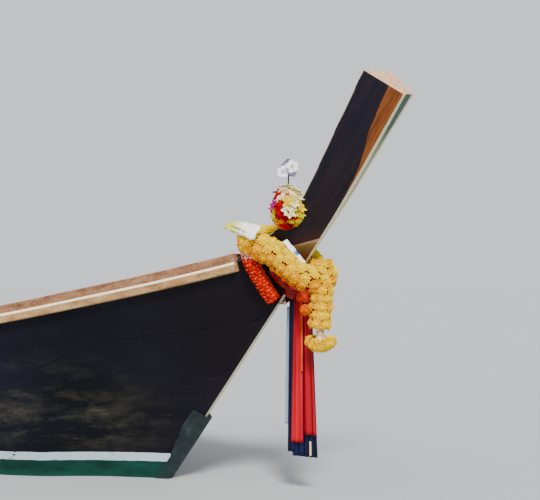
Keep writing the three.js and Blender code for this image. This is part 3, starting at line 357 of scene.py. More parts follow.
def two_sides(name, node, points, faces, material, **settings):
    """A piece on the port side and its mirror image to starboard, each in place of its own node."""
    other = np.array(points, float)
    other[:, 1] *= -1
    shapes = {"port": (points, faces), "starboard": (other, [tuple(reversed(face)) for face in faces])}
    for side, shape in shapes.items():
        new_piece(f"{name}_{side}", *shape, material, replaces=[f"{node}_{side}"], **settings)


def grid_faces(rows, columns, closed=False, turned=False):
    """Quads over a grid of points. Closed joins the last column to the first, turned flips them over."""
    faces = []
    for i in range(rows - 1):
        for j in range(columns if closed else columns - 1):
            a = i * columns + j
            b = i * columns + (j + 1) % columns
            faces.append((a, a + columns, b + columns, b) if turned else (a, b, b + columns, a + columns))
    return faces


def sheet_piece(name, grid, finish, thickness, turned=False, smooth_angle=180, **settings):
    """A sheet through a grid of points, with a thickness."""
    rows, columns = grid.shape[:2]
    piece = new_piece(name, grid.reshape(-1, 3), grid_faces(rows, columns, turned=turned), finish,
                      smooth_angle=smooth_angle, **settings)
    wall = piece.modifiers.new("thickness", "SOLIDIFY")
    wall.thickness = thickness
    wall.offset = 0
    return piece


def triangles(quads):
    return [half for a, b, c, d in quads for half in ((a, b, c), (a, c, d))]


def outward(points, faces):
    """The faces, all turned over if the solid is inside out."""
    corners = [points[list(face)] for face in faces]
    volume = sum(float(np.dot(c[0], np.cross(c[1:-1], c[2:]).sum(0))) for c in corners)
    return [face[::-1] for face in faces] if volume < 0 else faces


def shell(outer, inner):
    """Closed solid between two grids of points, each an array of rows, columns and 3."""
    grids = np.array([outer, inner], float)
    rows, columns = grids.shape[1:3]
    step = rows * columns
    faces = grid_faces(rows, columns, turned=True)
    faces += [tuple(step + a for a in face) for face in grid_faces(rows, columns)]
    grid = np.arange(step).reshape(rows, columns)
    rim = [*grid[0], *grid[1:, -1], *grid[-1, -2::-1], *grid[-2:0:-1, 0]]
    faces += [(a, b, step + b, step + a) if a < b else (b, step + b, step + a, a)
              for a, b in zip(rim, rim[1:] + rim[:1])]
    points = grids.reshape(-1, 3)
    return points, outward(points, faces)


def loft(rings):
    """Closed solid through rings with the same number of points."""
    rings = np.asarray(rings, float)
    count = rings.shape[1]
    points = rings.reshape(-1, 3)
    faces = grid_faces(len(rings), count, closed=True)
    last = (len(rings) - 1) * count
    faces.append(tuple(range(count - 1, -1, -1)))
    faces.append(tuple(range(last, last + count)))
    return points, outward(points, faces)


def both_sides(half):
    """A half line from the port side, run on over to the starboard side."""
    return [*half, *[(x, -y, z) for x, y, z in half[-2::-1]]]


# Materials


def rgb(code):
    """Linear colour from a six-digit sRGB code. Any other value stays as it is."""
    if not isinstance(code, str):
        return code
    parts = [int(code[i:i + 2], 16) / 255 for i in (0, 2, 4)]
    return tuple(c / 12.92 if c <= 0.04045 else ((c + 0.055) / 1.055) ** 2.4 for c in parts) + (1,)


def feed(target, value):
    """Links a wire to a node's input, or sets the input to a number, a vector or a colour."""
    if isinstance(value, Wire):
        value.tree.links.new(value.socket, target)
    elif value is not None:
        target.default_value = rgb(value)


class Wire:
    """The output of a node. Sums and products of wires make the math nodes for them."""

    def __init__(self, tree, socket):
        self.tree = tree
        self.socket = socket

    def math(self, operation, other=None):
        node = self.tree.nodes.new("ShaderNodeMath")
        node.operation = operation
        feed(node.inputs[0], self)
        feed(node.inputs[1], other)
        return Wire(self.tree, node.outputs[0])

    def __add__(self, other):
        return self.math("ADD", other)

    def __sub__(self, other):
        return self.math("SUBTRACT", other)

    def __mul__(self, other):
        return self.math("MULTIPLY", other)

    def __truediv__(self, other):
        return self.math("DIVIDE", other)

    def __abs__(self):
        return self.math("ABSOLUTE")


class Finish:
    """A procedural material, with short calls for the nodes that it uses."""

    def __init__(self, name, roughness=0.6, metallic=0.0, specular=0.5, sheen=0.0):
        self.material = bpy.data.materials.new(name)
        self.material.use_nodes = True
        self.tree = self.material.node_tree
        self.shader = self.tree.nodes["Principled BSDF"]
        self.set("Roughness", roughness)
        self.set("Metallic", metallic)
        self.set("Specular IOR Level", specular)
        self.set("Sheen Weight", sheen)
        self.place = self.node("TexCoord", "Object")

    def set(self, name, value):
        feed(self.shader.inputs[name], value)

    def done(self, colour, normal=None, roughness=None):
        """Sets what the surface shows and gives the material."""
        self.set("Base Color", colour)
        self.set("Normal", normal)
        self.set("Roughness", roughness)
        return self.material

    def node(self, kind, output, inputs=None, **settings):
        """An output of a new node, with its settings and what goes into it."""
        node = self.tree.nodes.new("ShaderNode" + kind)
        for key, value in settings.items():
            setattr(node, key, value)
        for key, value in (inputs or {}).items():
            feed(node.inputs[key], value)
        return Wire(self.tree, node.outputs[output])

    def combined(self, x, y, z):
        return self.node("CombineXYZ", 0, {0: x, 1: y, 2: z})

    def axis(self, name):
        return self.node("SeparateXYZ", name, {0: self.place})

    def attribute(self, name):
        return self.node("Attribute", "Fac", attribute_name=name)

    def stretched(self, scale, stretch):
        return self.node("VectorMath", 0, {0: self.place, 1: tuple(scale * s for s in stretch)},
                         operation="MULTIPLY")

    def noise(self, scale, detail=5, rough=0.55, stretch=(1, 1, 1), distortion=0.0):
        return self.node("TexNoise", "Fac", {
            "Vector": self.stretched(scale, stretch), "Scale": 1.0, "Detail": float(detail),
            "Roughness": rough, "Distortion": distortion,
        })

    def between(self, value, low, high):
        """0 below low and 1 above high, with a straight change between them."""
        return self.node("MapRange", "Result", {"Value": value, "From Min": low, "From Max": high})

    def ramp(self, value, *stops):
        node = self.tree.nodes.new("ShaderNodeValToRGB")
        feed(node.inputs["Fac"], value)
        elements = node.color_ramp.elements
        while len(elements) < len(stops):
            elements.new(0.5)
        for element, (position, colour) in zip(elements, stops):
            element.position = position
            element.color = rgb(colour)
        return Wire(self.tree, node.outputs["Color"])

    def curve(self, value, stops):
        node = self.tree.nodes.new("ShaderNodeFloatCurve")
        feed(node.inputs["Value"], value)
        points = node.mapping.curves[0].points
        while len(points) < len(stops):
            points.new(0.5, 0.5)
        for point, place in zip(points, stops):
            point.location = place
        node.mapping.update()
        return Wire(self.tree, node.outputs[0])

    def mix(self, factor, a, b, blend="MIX"):
        return self.node("Mix", 2, {0: factor, 6: a, 7: b}, data_type="RGBA", blend_type=blend)

    def bump(self, height, strength=0.5, distance=0.001, onto=None):
        return self.node("Bump", "Normal", {
            "Height": height, "Strength": strength, "Distance": distance, "Normal": onto,
        })


ALONG_X = (0.7, 9, 9)
ALONG_Y = (9, 0.7, 9)


def wood_figure(f, grain, dark, light):
    """The figure of the wood and its colour, from dark through their middle to light."""
    middle = tuple((p + q) / 2 for p, q in zip(rgb(dark), rgb(light)))
    figure = f.noise(1.6, 6, 0.6, grain, 0.5)
    return figure, f.ramp(figure, (0.28, dark), (0.5, middle), (0.72, light))


def wood(name, dark, light, weathered, grain=ALONG_X):
    """Sawn wood with weathered patches."""
    f = Finish(name, specular=0.35)
    colour = wood_figure(f, grain, dark, light)[1]
    fibres = f.noise(16, 3, 0.7, grain)
    patches = f.noise(2.2, 6, 0.65, (1, 1.4, 1.4))
    colour = f.mix(f.between(fibres, 0.35, 0.75), colour, light)
    colour = f.mix(f.between(patches, 0.48, 0.72), colour, weathered)
    return f.done(colour, f.bump(fibres, 0.55, 0.0012), f.between(fibres, -0.48, 1.6))


def planked(name, dark, light, pitch):
    """Boards side by side along the boat, each a little different, with dark gaps between them."""
    f = Finish(name, 0.7, specular=0.25)
    count = f.axis("Y") / pitch
    tone = (count.math("FLOOR") * 0.37).math("FRACT")
    gap = f.between(abs(count.math("FRACT") - 0.5), 0.47, 0.485)
    figure, colour = wood_figure(f, ALONG_X, dark, light)
    colour = f.mix(tone * 0.5, colour, "9a8468")
    colour = f.mix(gap, colour, "0e0a08")
    return f.done(colour, f.bump(gap, -0.8, 0.004, f.bump(figure, 0.4, 0.001)))


def hull_paint():
    """Near-black paint, scuffed low down, above a chipped white stripe and a green bottom.

    The wood is bare inside the boat, and brown in a band at the stem's head.
    """
    f = Finish("hull_paint", 0.5, specular=0.16)
    x = f.axis("X")
    z = f.axis("Z")
    ragged = f.noise(7, 6, 0.7, (1, 1, 1.6))
    fine = f.noise(40, 4, 0.7)
    cloudy = f.noise(1.4, 5, 0.6, (1, 1, 1.6))
    streaks = f.noise(2.6, 8, 0.74, (0.8, 0.8, 3.2), 0.3)
    mottle = f.noise(9, 6, 0.75, (0.8, 0.8, 1.6))
    base = f.ramp(cloudy, (0.3, "04040c"), (0.5, "090916"), (0.72, "121224"))
    base = f.mix(f.between(x, 3.9, 5.0), base, f.mix(cloudy, "08050c", "180e16"))
    low_down = f.between(z, 0.14, 0.26) * f.between(z, 0.86, 0.42)
    scuffed = f.between(streaks, 0.46, 0.66) * low_down * f.between(x, 4.35, 3.7)
    scuff_colour = f.mix(f.between(mottle, 0.35, 0.65), "24261e", "646250")
    colour = f.mix(scuffed * 0.55, base, scuff_colour)
    scratches = f.between(f.noise(5, 4, 0.7, (0.5, 0.5, 12), 0.2), 0.67, 0.7)
    colour = f.mix(scratches * (low_down * 0.3), colour, "6c6660")
    height = z + (ragged - 0.5) * 0.014
    bottom = f.mix(f.between(f.noise(3, 6, 0.65, (1, 1, 2.5)), 0.35, 0.65), "05201e", "0c4438")
    slime = f.between(z + ragged * 0.06, 0.085, 0.03) * f.between(x, 4.3, 3.2)
    bottom = f.mix(slime * 0.6, bottom, "14604a")
    colour = f.mix(f.between(height, STRIPE_LOW + STRIPE_SOFT, STRIPE_LOW - STRIPE_SOFT), colour, bottom)
    in_stripe = (f.between(height, STRIPE_LOW - STRIPE_SOFT, STRIPE_LOW + STRIPE_SOFT)
                 * f.between(height, STRIPE_HIGH + STRIPE_SOFT, STRIPE_HIGH - STRIPE_SOFT))
    chips = f.between(f.noise(11, 5, 0.72), 0.34, 0.36)
    end = f.between(x + ragged * 0.12 - (z - STRIPE_LOW) * 1.7, 4.25, 4.23)
    colour = f.mix(in_stripe * (chips * end), colour, f.mix(fine, "a3b8c6", "d2e2ea"))
    head = z + x * -0.2 + ragged * 0.012 + 0.004
    bare_head = f.ramp(head, (0.355, "3c140c"), (0.395, "5a2a12"), (0.405, "4c3a18"), (0.445, "6a5226"),
                       (0.455, "b48a70"), (0.47, "c89c84"), (0.476, "1c0a0c"), (1.0, "1c0a0c"))
    colour = f.mix(f.between(head, 0.35, 0.36) * f.between(x, 4.98, 5.0), colour, bare_head)
    grain = f.noise(1.8, 6, 0.6, ALONG_X, 0.5)
    bare = f.ramp(grain, (0.28, "3a271a"), (0.5, "5f432c"), (0.74, "8a6a4a"))
    bare = f.mix(f.between(mottle, 0.5, 0.72), bare, "8b7f70")
    colour = f.mix(f.between(f.attribute("inner"), 0.93, 0.98), colour, bare)
    return f.done(colour, f.bump(fine, 0.25, 0.0006, f.bump(streaks, 0.3, 0.0015)), streaks * 0.4 + 0.4)


def guard_finish():
    """Dull blue-grey sheathing with dents, greener where it is wet."""
    f = Finish("guard_finish", 0.6, specular=0.3)
    patches = f.noise(8, 7, 0.7, distortion=0.3)
    fine = f.noise(45, 4, 0.7)
    colour = f.ramp(patches, (0.3, "0b1214"), (0.52, "1a2629"), (0.75, "3a4b50"))
    wet = f.between(f.axis("Z") + patches * 0.06, 0.16, 0.1)
    colour = f.mix(wet * 0.8, colour, "0f2b28")
    return f.done(colour, f.bump(fine, 0.3, 0.0008, f.bump(patches, 0.6, 0.006)))


def rail_wood(name, dark, middle, light):
    """Bare sun-bleached wood, greyer and darker in its cracks, with a painted highlight along its marked
    upper arris.
    """
    f = Finish(name, 0.7, specular=0.15)
    grain = (0.4, 9, 9)
    figure = f.noise(2.6, 6, 0.62, grain, 0.4)
    fibres = f.noise(16, 3, 0.75, grain)
    cracks = f.between(f.noise(7, 5, 0.75, (0.2, 12, 12), 0.2), 0.64, 0.72)
    stains = f.between(f.noise(4, 6, 0.7, (1, 1, 2)), 0.6, 0.7)
    colour = f.ramp(figure, (0.25, dark), (0.5, middle), (0.75, light))
    colour = f.mix(f.between(fibres, 0.5, 0.8) * 0.5, colour, "d6b99c")
    colour = f.mix(cracks * 0.75, colour, "4a3226")
    colour = f.mix(stains * 0.6, colour, "5e4c30")
    # Pale cream on the marked upper arris: a painted highlight.
    colour = f.mix(f.between(f.attribute("edge"), 0.9, 0.97) * 0.95, colour, "fbe6c8")
    return f.done(colour, f.bump(fibres, 0.5, 0.001, f.bump(cracks, -0.6, 0.002)))


def prow_side_finish():
    """Dark paint over most of the face and varnished brown wood in front of a wavy edge."""
    f = Finish("prow_side", 0.42, specular=0.22)
    across = f.attribute("across")
    up = f.attribute("up")
    beam = f.attribute("beam")
    limit = f.curve(up, VARNISH_EDGE) + (f.noise(9, 4, 0.6) - 0.5) * 0.06
    painted_to = f.between(across, limit, limit - 0.012)
    f.place = f.combined(across * 0.45, beam * 0.3, up * 1.1)
    grain = f.noise(3, 6, 0.62, (9, 1, 0.9), 0.6)
    fibres = f.noise(26, 4, 0.7, (6, 1, 0.5))
    varnish = f.ramp(grain, (0.28, "321404"), (0.48, "6c340c"), (0.72, "96541a"))
    varnish = f.mix(f.between(fibres, 0.5, 0.8) * 0.5, varnish, "b07434")
    night = f.mix(f.between(up, 0.3, 0.9), "100708", "0a0618")
    night = f.mix(f.between(up, 0.16, 0.02), night, "2c120e")
    night = f.mix(f.between(f.noise(5, stretch=(3, 1, 0.6)), 0.42, 0.75), night, "22101c")
    edge_wear = f.between(across, 0.972, 0.988) * f.between(f.noise(14, 4), 0.4, 0.5)
    night = f.mix(edge_wear * f.between(abs(beam), 0.93, 0.98) * 0.9, night, "b3a08a")
    colour = f.mix(painted_to, night, varnish)
    return f.done(colour, f.bump(fibres, 0.3, 0.0006, f.bump(grain, 0.25, 0.0012)), fibres * 0.35 + 0.3)


def prow_front_finish():
    """Grey-green paint down the middle of the narrow front face, bare cream wood at its edges."""
    f = Finish("prow_front", 0.6, specular=0.3)
    up = f.attribute("up")
    fibres = f.noise(20, 5, 0.7, (6, 6, 0.7))
    wide = f.between(up, 0.1, 0.95) * 0.5 + 0.1
    offset = f.attribute("beam") - f.between(up, 1.0, -1.2)
    inside = f.between(abs(offset), wide, wide - 0.14)
    faded = f.mix(fibres, "7c8a66", "b0b890")
    green = f.mix(f.between(up, 0.66, 0.84), faded, f.mix(fibres, "1f3a30", "56705e"))
    cream = f.mix(f.between(fibres, 0.35, 0.7), "c9c29a", "f4eecb")
    return f.done(f.mix(inside, cream, green), f.bump(fibres, 0.5, 0.001))


def end_grain():
    """Bleached end grain with rings and small checks."""
    f = Finish("end_grain", 0.75, specular=0.2)
    rings = f.noise(26, 5, 0.7, (1, 2.4, 1), 0.8)
    cells = f.node("TexVoronoi", "Distance", {"Vector": f.stretched(22, (1, 3.2, 1)), "Scale": 1.0},
                   feature="DISTANCE_TO_EDGE")
    colour = f.ramp(rings, (0.3, "a87c5c"), (0.5, "d4a888"), (0.7, "e8ccb4"))
    colour = f.mix(f.between(cells, 0.05, 0.0) * 0.5, colour, "7c5238")
    return f.done(colour, f.bump(rings, 0.5, 0.001))


def metal(name, low, high, roughness, metallic=1.0, rust=None, scale=8):
    f = Finish(name, roughness, metallic)
    patches = f.noise(scale, 6, 0.65)
    fine = f.noise(scale * 12, 3, 0.6)
    colour = f.mix(patches, low, high)
    if rust:
        rusty = f.between(f.noise(scale * 1.7, 7, 0.75), 0.56, 0.66)
        colour = f.mix(rusty, colour, rust)
        f.set("Metallic", f.between(rusty, 1, 0) * metallic)
    return f.done(colour, f.bump(fine, 0.25, 0.0004, f.bump(patches, 0.2, 0.002)),
                  patches * 0.3 + (roughness - 0.15))


def canvas(name, low, high):
    f = Finish(name, 0.85, specular=0.15, sheen=0.1)
    threads = f.noise(900, 1, stretch=(1, 0.12, 0.12)) + f.noise(900, 1, stretch=(0.12, 0.12, 1))
    return f.done(f.mix(f.noise(5, 5, 0.6), low, high), f.bump(threads, 0.4, 0.0003))


def plastic(name, low, high, roughness=0.4):
    f = Finish(name, roughness)
    patches = f.noise(6, 5, 0.6)
    return f.done(f.mix(patches, low, high), f.bump(f.noise(300, 2), 0.2, 0.0002),
                  patches * 0.25 + (roughness - 0.1))


def petals(name, core, middle, tip, shaded=(0.72, 0.4, 0.2, 1)):
    """Petals in three colours from the base to the crest, each flower a little different. A low tone
    multiplies in the shaded colour, which on the flower ropes is painted shade on heads turned from the
    light.
    """
    f = Finish(name, 0.9, specular=0.0)
    colour = f.ramp(f.attribute("rim"), (0.0, core), (0.42, middle), (1.0, tip))
    shade = f.mix(f.attribute("tone"), shaded, (1, 1, 1, 1))
    return f.done(f.mix(1.0, colour, shade, "MULTIPLY"), f.bump(f.noise(260, 3), 0.3, 0.0008))


def satin(name, low, high):
    """Cloth with lengthwise threads, its colour brighter on the pleats' crests and darker in their hollows:
    painted sheen and shade.
    """
    f = Finish(name, 0.42, specular=0.22)
    patches = f.noise(6, 5, 0.6, (1, 1, 0.3))
    threads = f.noise(500, 2, stretch=(1, 1, 0.06))
    pleats_and_painted_sheen = f.noise(15, 2, 0.5, (1, 1, 0.06))
    # The colour follows the pleats' relief, lighter on crests and darker in hollows: painted sheen and shade.
    return f.done(f.mix(f.between(pleats_and_painted_sheen, 0.3, 0.7), low, high),
                  f.bump(threads, 0.3, 0.0003, f.bump(pleats_and_painted_sheen, 0.7, 0.006)), patches * 0.25 + 0.26)


def ribbon_finish(name, *stops):
    """Thin shiny ribbon dyed in bands along its length."""
    f = Finish(name, 0.35, specular=0.4)
    return f.done(f.ramp(f.attribute("share"), *stops), f.bump(f.noise(90, 3), 0.3, 0.0006))


# Hull


def hood_x(share):
    """Where the edge of a strake runs out against the stem."""
    def above(x):
        top = sheer_at(x) - PLANK_TOP_DROP if share == 1 else seam_height(x, share)
        return top - rabbet_at(x) > 0.008
    return halving(3.3, 5.27, above)


def strake_shape(low, high, start, end):
    """Outer and inner skin of one length of a strake, and a mark of 1 on each inner point."""
    x = stations(start, end, 0.09)
    if end - x[-2] <= 0.01:
        x = np.delete(x, -2)
    x = x[:, None]
    roof = sheer_at(x) - PLANK_TOP_DROP
    bottom = np.maximum(seam_height(x, low) + (SEAM if low else 0), rabbet_at(x))
    top = roof if high == 1 else seam_height(x, high) - SEAM
    first = share_at(x, bottom)
    t = first + (share_at(x, top) - first) * np.linspace(0, 1, 9)
    y, z = inner_point(x, t, PLANK)
    inner = gridded(x, np.maximum(y, RABBET_HALF + 0.0002), np.minimum(z, roof))
    points, faces = shell(gridded(x, *hull_point(x, t)), inner)
    return points, faces, np.repeat([0.0, 1.0], len(points) // 2)


def make_strakes(paint):
    for name, (low, high, butts) in STRAKES.items():
        ends = [PLANK_AFT, *butts, hood_x(high)]
        for i in range(len(ends) - 1):
            start = ends[i] + (GAP / 2 if i else 0)
            end = ends[i + 1] - (GAP / 2 if i < len(butts) else 0)
            points, faces, inner = strake_shape(low, high, start, end)
            length = f"{name}_{LENGTHS[i]}" if butts else name
            two_sides(f"planking_{length}", f"strake_{length}", points, faces, paint, bevel=0.0015,
                      slot="black_paint", attributes={"inner": inner})


def side_strip(top_drop, bottom_drop, proud, chamfer):
    """Strip along the sheer that stands out from the planking, and a mark of 1 on its upper edge, where a
    highlight is painted.
    """
    x = stations(STERN_X, PROW_FOOT_X, RAIL_SPACING)
    section = [(top_drop, 0, 0), (top_drop, proud - chamfer, 1), (top_drop + chamfer, proud, 1),
               (bottom_drop, proud, 0), (bottom_drop, 0, 0)]
    rows = []
    for drop, out, _ in section:
        z = sheer_at(x) - drop
        wander = 0.0012 * np.sin(x * 7.1 + drop * 90) * (out > 0)
        rows.append((skin_half(x, z) + 2 * GAP + out + wander, z))
    return *loft(swept(x, rows)), np.tile([mark for _, _, mark in section], len(x))


def make_rails():
    finishes = {
        "upper": rail_wood("rail_brown", "644028", "986a4c", "bc9270"),
        "lower": rail_wood("rail_tan", "80582f", "b68c5c", "d8b484"),
    }
    for name, (*section, painted_highlight) in RAILS.items():
        points, faces, edge = side_strip(*section)
        two_sides(f"rail_{name}", f"rub_rail_{name}", points, faces, finishes[name], bevel=0.003,
                  slot="rail_wood", attributes={"edge": edge * painted_highlight})
    x = stations(STERN_X, PROW_FOOT_X, RAIL_SPACING)
    top = sheer_at(x)
    low = top - PLANK_TOP_DROP + GAP
    edge = skin_half(x, top)
    width = np.minimum(CAP_WIDTH, along(HULL, "half", x) - 0.12)
    rows = [(edge, top), (edge - width, top), (edge - width, low), (skin_half(x, low), low)]
    two_sides("cap", "gunwale", *loft(swept(x, rows)), finishes["upper"], bevel=0.005, slot="rail_wood")


def timber_rings(x):
    """Sections of the keel and the stem: their face, the rabbets and the square part inside."""
    rabbet = rabbet_at(x)
    bottom = rabbet - RABBET_BACK * STEM_RISE
    top = rabbet + STEM_DEPTH
    return swept(x, [(-STEM_FACE_HALF, bottom), (STEM_FACE_HALF, bottom), (STEM_HALF, rabbet),
                     (STEM_HALF, top), (-STEM_HALF, top), (-STEM_HALF, rabbet)])


def timber_inside(x):
    """Marks the faces above the rabbet, which lie inside the boat."""
    marks = np.array([0, 0, 0.92, 1, 1, 0.92])
    return (marks * (x < STEM_HEAD_X)[:, None]).ravel()


def make_stem(paint, front):
    x = stations(STEM_SCARF_X, STEM_TOP_X, 0.045)
    points, faces = loft(timber_rings(x))
    marks = {"up": np.full(len(points), 0.05), "beam": points[:, 1] / STEM_FACE_HALF,
             "across": np.zeros(len(points)), "inner": timber_inside(x)}
    piece = new_piece("stem", points, faces, [paint, front], bevel=0.003, replaces=["stem_prow"],
                      slot="prow_wood", attributes=marks)
    for face in piece.data.polygons:
        if face.normal.z < -0.2 and abs(face.normal.y) < 0.3 and face.center.x > 4.2:
            face.material_index = 1
    x = stations(PLANK_AFT, STEM_SCARF_X - GAP, 0.1)
    new_piece("keel_timber", *loft(timber_rings(x)), paint, bevel=0.003, replaces=["keel"],
              slot="black_paint", attributes={"inner": timber_inside(x)})


def make_prow(side_finish, front, top_finish):
    """The prow above the sheer, with a short skirt down into the stem."""
    steps = np.linspace(0, 5, 46)
    rows = {key: along(PROW, key, steps)[:, None] for key in PROW if key != "x"}
    up = steps / 5
    share = np.linspace(0, 1, 11)
    beam, across = np.array([(-1, 0.0)] + [(1, a) for a in share] + [(-1, a) for a in share[:0:-1]]).T
    x, z, half = (rows["front_" + key] * (1 - across) + rows["aft_" + key] * across
                  for key in ("x", "z", "half"))
    slant = PROW_SLANT * beam * half * up[:, None] ** 6
    rings = gridded(x + slant * SLANT_AHEAD, beam * half, z + slant * SLANT_UP)
    rings = np.concatenate([rings[:1] - (0.014, 0, 0.02), rings])
    up = np.append(0, up)
    marks = {"up": np.repeat(up, len(beam)), "across": np.tile(across, len(up)),
             "beam": np.tile(beam, len(up))}
    piece = new_piece("prow", *loft(rings), [side_finish, front, top_finish], bevel=0.004,
                      replaces=["stem_prow"], slot="prow_wood", attributes=marks)
    up_and_aft = Vector((-0.6, 0, 0.78))
    for face in piece.data.polygons:
        if len(face.vertices) > 4 and face.normal.z > 0:
            face.material_index = 2
        elif abs(face.normal.y) < 0.35 and face.normal.dot(up_and_aft) < 0:
            face.material_index = 1
    return piece


def make_guard(finish):
    """Sheathing folded round the forefoot, with a ragged aft edge."""
    rng = np.random.default_rng(5)
    heights = GUARD_REACH["z"]
    outer, inner = [], []
    for z in np.linspace(heights[0], heights[-1], 46):
        face = stem_face_x(z)
        wave = 0.007 * math.sin(z * 37) + 0.004 * math.sin(z * 83) + rng.uniform(-0.003, 0.003)
        reach = float(np.interp(z, heights, GUARD_REACH["back"])) + wave
        lean = GUARD_LEAN * min(1, max(0, (z - GUARD_LEAN_FROM) / (heights[-1] - GUARD_LEAN_FROM))) ** 2
        outer_half, inner_half = [], []
        for back in np.linspace(max(reach, 0.046), 0.043, 5):
            high = z + lean * (back + GUARD_NOSE)
            x = stem_face_x(high) - back
            y = float(skin_half(x, max(high, float(rabbet_at(x))))) + GUARD_CLEAR
            outer_half.append((x, y + GUARD_THICK, high))
            inner_half.append((x, y, high))
        high = z + lean * (RABBET_BACK + GUARD_NOSE)
        back = stem_face_x(high) - RABBET_BACK
        outer_half += [(back + 0.006, STEM_HALF + 0.012, high), (face + 0.033, STEM_FACE_HALF + 0.005, z),
                       (face + GUARD_NOSE, 0.0, z)]
        inner_half += [(back, STEM_HALF + GUARD_CLEAR, high), (face + SEAM, STEM_FACE_HALF + SEAM, z),
                       (face + SEAM, 0.0, z)]
        outer.append(both_sides(outer_half))
        inner.append(both_sides(inner_half))
    new_piece("guard", *shell(outer, inner), finish, bevel=0.0015, replaces=["stem_guard"],
              slot="guard_sheathing")


# Flowers


def flower_template(whorls=3, petal_count=8, segments=24, height=0.55, frill=0.17):
    """A frilly closed dome of radius 1, as points, triangles and a share from its base to its crest."""
    out = np.arange(1, whorls + 1) / whorls
    radius = np.stack([out, out * 0.84], -1).reshape(-1, 1)
    z = np.stack([height * (1 - 0.62 * out) + 0.08, height * (1 - 0.75 * out) - 0.1], -1).reshape(-1, 1)
    row = np.arange(2 * whorls)[:, None]
    ring = np.arange(segments)
    angle = 2 * math.pi * ring / segments + (row // 2) * math.pi / petal_count
    reach = radius * (1 + frill * np.cos(angle * petal_count) * radius)
    dome = gridded(reach * np.cos(angle), reach * np.sin(angle), z + 0.07 * np.cos(angle * petal_count * 2))
    points = np.concatenate([[(0, 0, height)], dome.reshape(-1, 3), [(0, 0, -0.25)]])
    # The share falls from the crest to the rim and underside of each head, and is lower on the inner row of
    # each whorl. The colours follow it from tip to core, a painted shade in the crevices.
    share = np.maximum(1 - radius * 0.75, 0) + 0.2 * (row % 2 == 0)
    after = (ring + 1) % segments
    first = len(points) - 1 - segments
    top = gridded(0, 1 + ring, 1 + after)
    sides = np.array(triangles(grid_faces(2 * whorls, segments, closed=True, turned=True))) + 1
    under = gridded(first + ring, len(points) - 1, first + after)
    return points, np.concatenate([top, sides, under]), np.concatenate([[1], np.repeat(share, segments), [0]])


def bloom_template(petal_count, width, point, cup):
    """An open flower of radius 1 with separate petals, each a curved leaf."""
    rows, columns = 8, 7
    petal = np.arange(petal_count)[:, None, None]
    t = np.linspace(0, 1, rows)[:, None]
    q = np.linspace(-1, 1, columns)
    turn = 2 * math.pi * petal / petal_count
    out = 0.06 + 0.94 * t * (1 - 0.08 * q * q)
    side = width * np.sin(math.pi * np.minimum(t ** point * 0.96 + 0.04, 1)) ** 0.6 * q
    lift = cup * t * t - 0.12 * q * q + 0.1 * np.sin(math.pi * t) + 0.02 * petal
    points = gridded(out * np.cos(turn) - side * np.sin(turn), out * np.sin(turn) + side * np.cos(turn), lift)
    rim = np.where(t > 0.2, 0.42 + 0.58 * np.maximum(abs(q) ** 4, t ** 8), 2.1 * t)
    leaf = np.array(triangles(grid_faces(rows, columns, turned=True)))
    faces = leaf + petal * rows * columns
    return points.reshape(-1, 3), faces.reshape(-1, 3), np.tile(rim.ravel(), petal_count)


def strewn(template, heads, rng):
    """One mesh of many copies: each head is a place, a direction, a size and a tone."""
    points, faces, rim = template
    parts = []
    for place, direction, size, tone in heads:
        spin = Matrix.Rotation(rng.uniform(0, 2 * math.pi), 3, "Z")
        turn = np.array(Vector(direction).to_track_quat("Z", "Y").to_matrix() @ spin)
        parts.append((points @ turn.T * size + np.asarray(place), faces, rim, np.full(len(points), tone)))
    return joined(parts)


def joined(parts):
    """Several meshes as one. Each has points, triangles, and a rim share and a tone for each point."""
    points, faces, rim, tone = zip(*parts)
    starts = np.cumsum([0] + [len(p) for p in points[:-1]])
    return (np.concatenate(points), np.concatenate([f + start for f, start in zip(faces, starts)]),
            np.concatenate(rim), np.concatenate(tone))


def smooth_path(points, step, closed=False):
    """Evenly spaced points on a rounded line through the given ones."""
    points = np.array(points, float)
    count = len(points)

    def at(k):
        return points[k % count] if closed else points[min(max(k, 0), count - 1)]

    u = np.linspace(0, 1, 24, endpoint=False)[:, None]
    dense = []
    for i in range(count if closed else count - 1):
        p0, p1, p2, p3 = at(i - 1), at(i), at(i + 1), at(i + 2)
        dense.append(0.5 * (2 * p1 + (p2 - p0) * u + (2 * p0 - 5 * p1 + 4 * p2 - p3) * u ** 2
                            + (3 * p1 - p0 - 3 * p2 + p3) * u ** 3))
    dense = np.concatenate([*dense, [points[0] if closed else points[-1]]])
    lengths = np.concatenate([[0], np.cumsum(np.linalg.norm(np.diff(dense, axis=0), axis=1))])
    places = np.linspace(0, lengths[-1], max(int(round(lengths[-1] / step)), 2) + 1)
    line = np.stack([np.interp(places, lengths, dense[:, k]) for k in range(3)], -1)
    return line[:-1] if closed else line


def path_frames(line, closed=False):
    """Unit vectors ahead, to the side and up at each point of a line."""
    ahead = unit(np.roll(line, -1, 0) - np.roll(line, 1, 0) if closed else np.gradient(line, axis=0))
    side = unit(np.cross(ahead, (0.13, 0.21, 0.97)))
    return ahead, side, np.cross(ahead, side)


def rope_rings(line, reach, around, closed=False):
    """Rings of points round a line, at a reach that may change with the place and the angle."""
    _, side, up = path_frames(line, closed)
    angle = (2 * math.pi * np.arange(around) / around)[:, None]
    reach = np.broadcast_to(reach, (len(line), around))[..., None]
    return line[:, None] + reach * (side[:, None] * np.cos(angle) + up[:, None] * np.sin(angle))


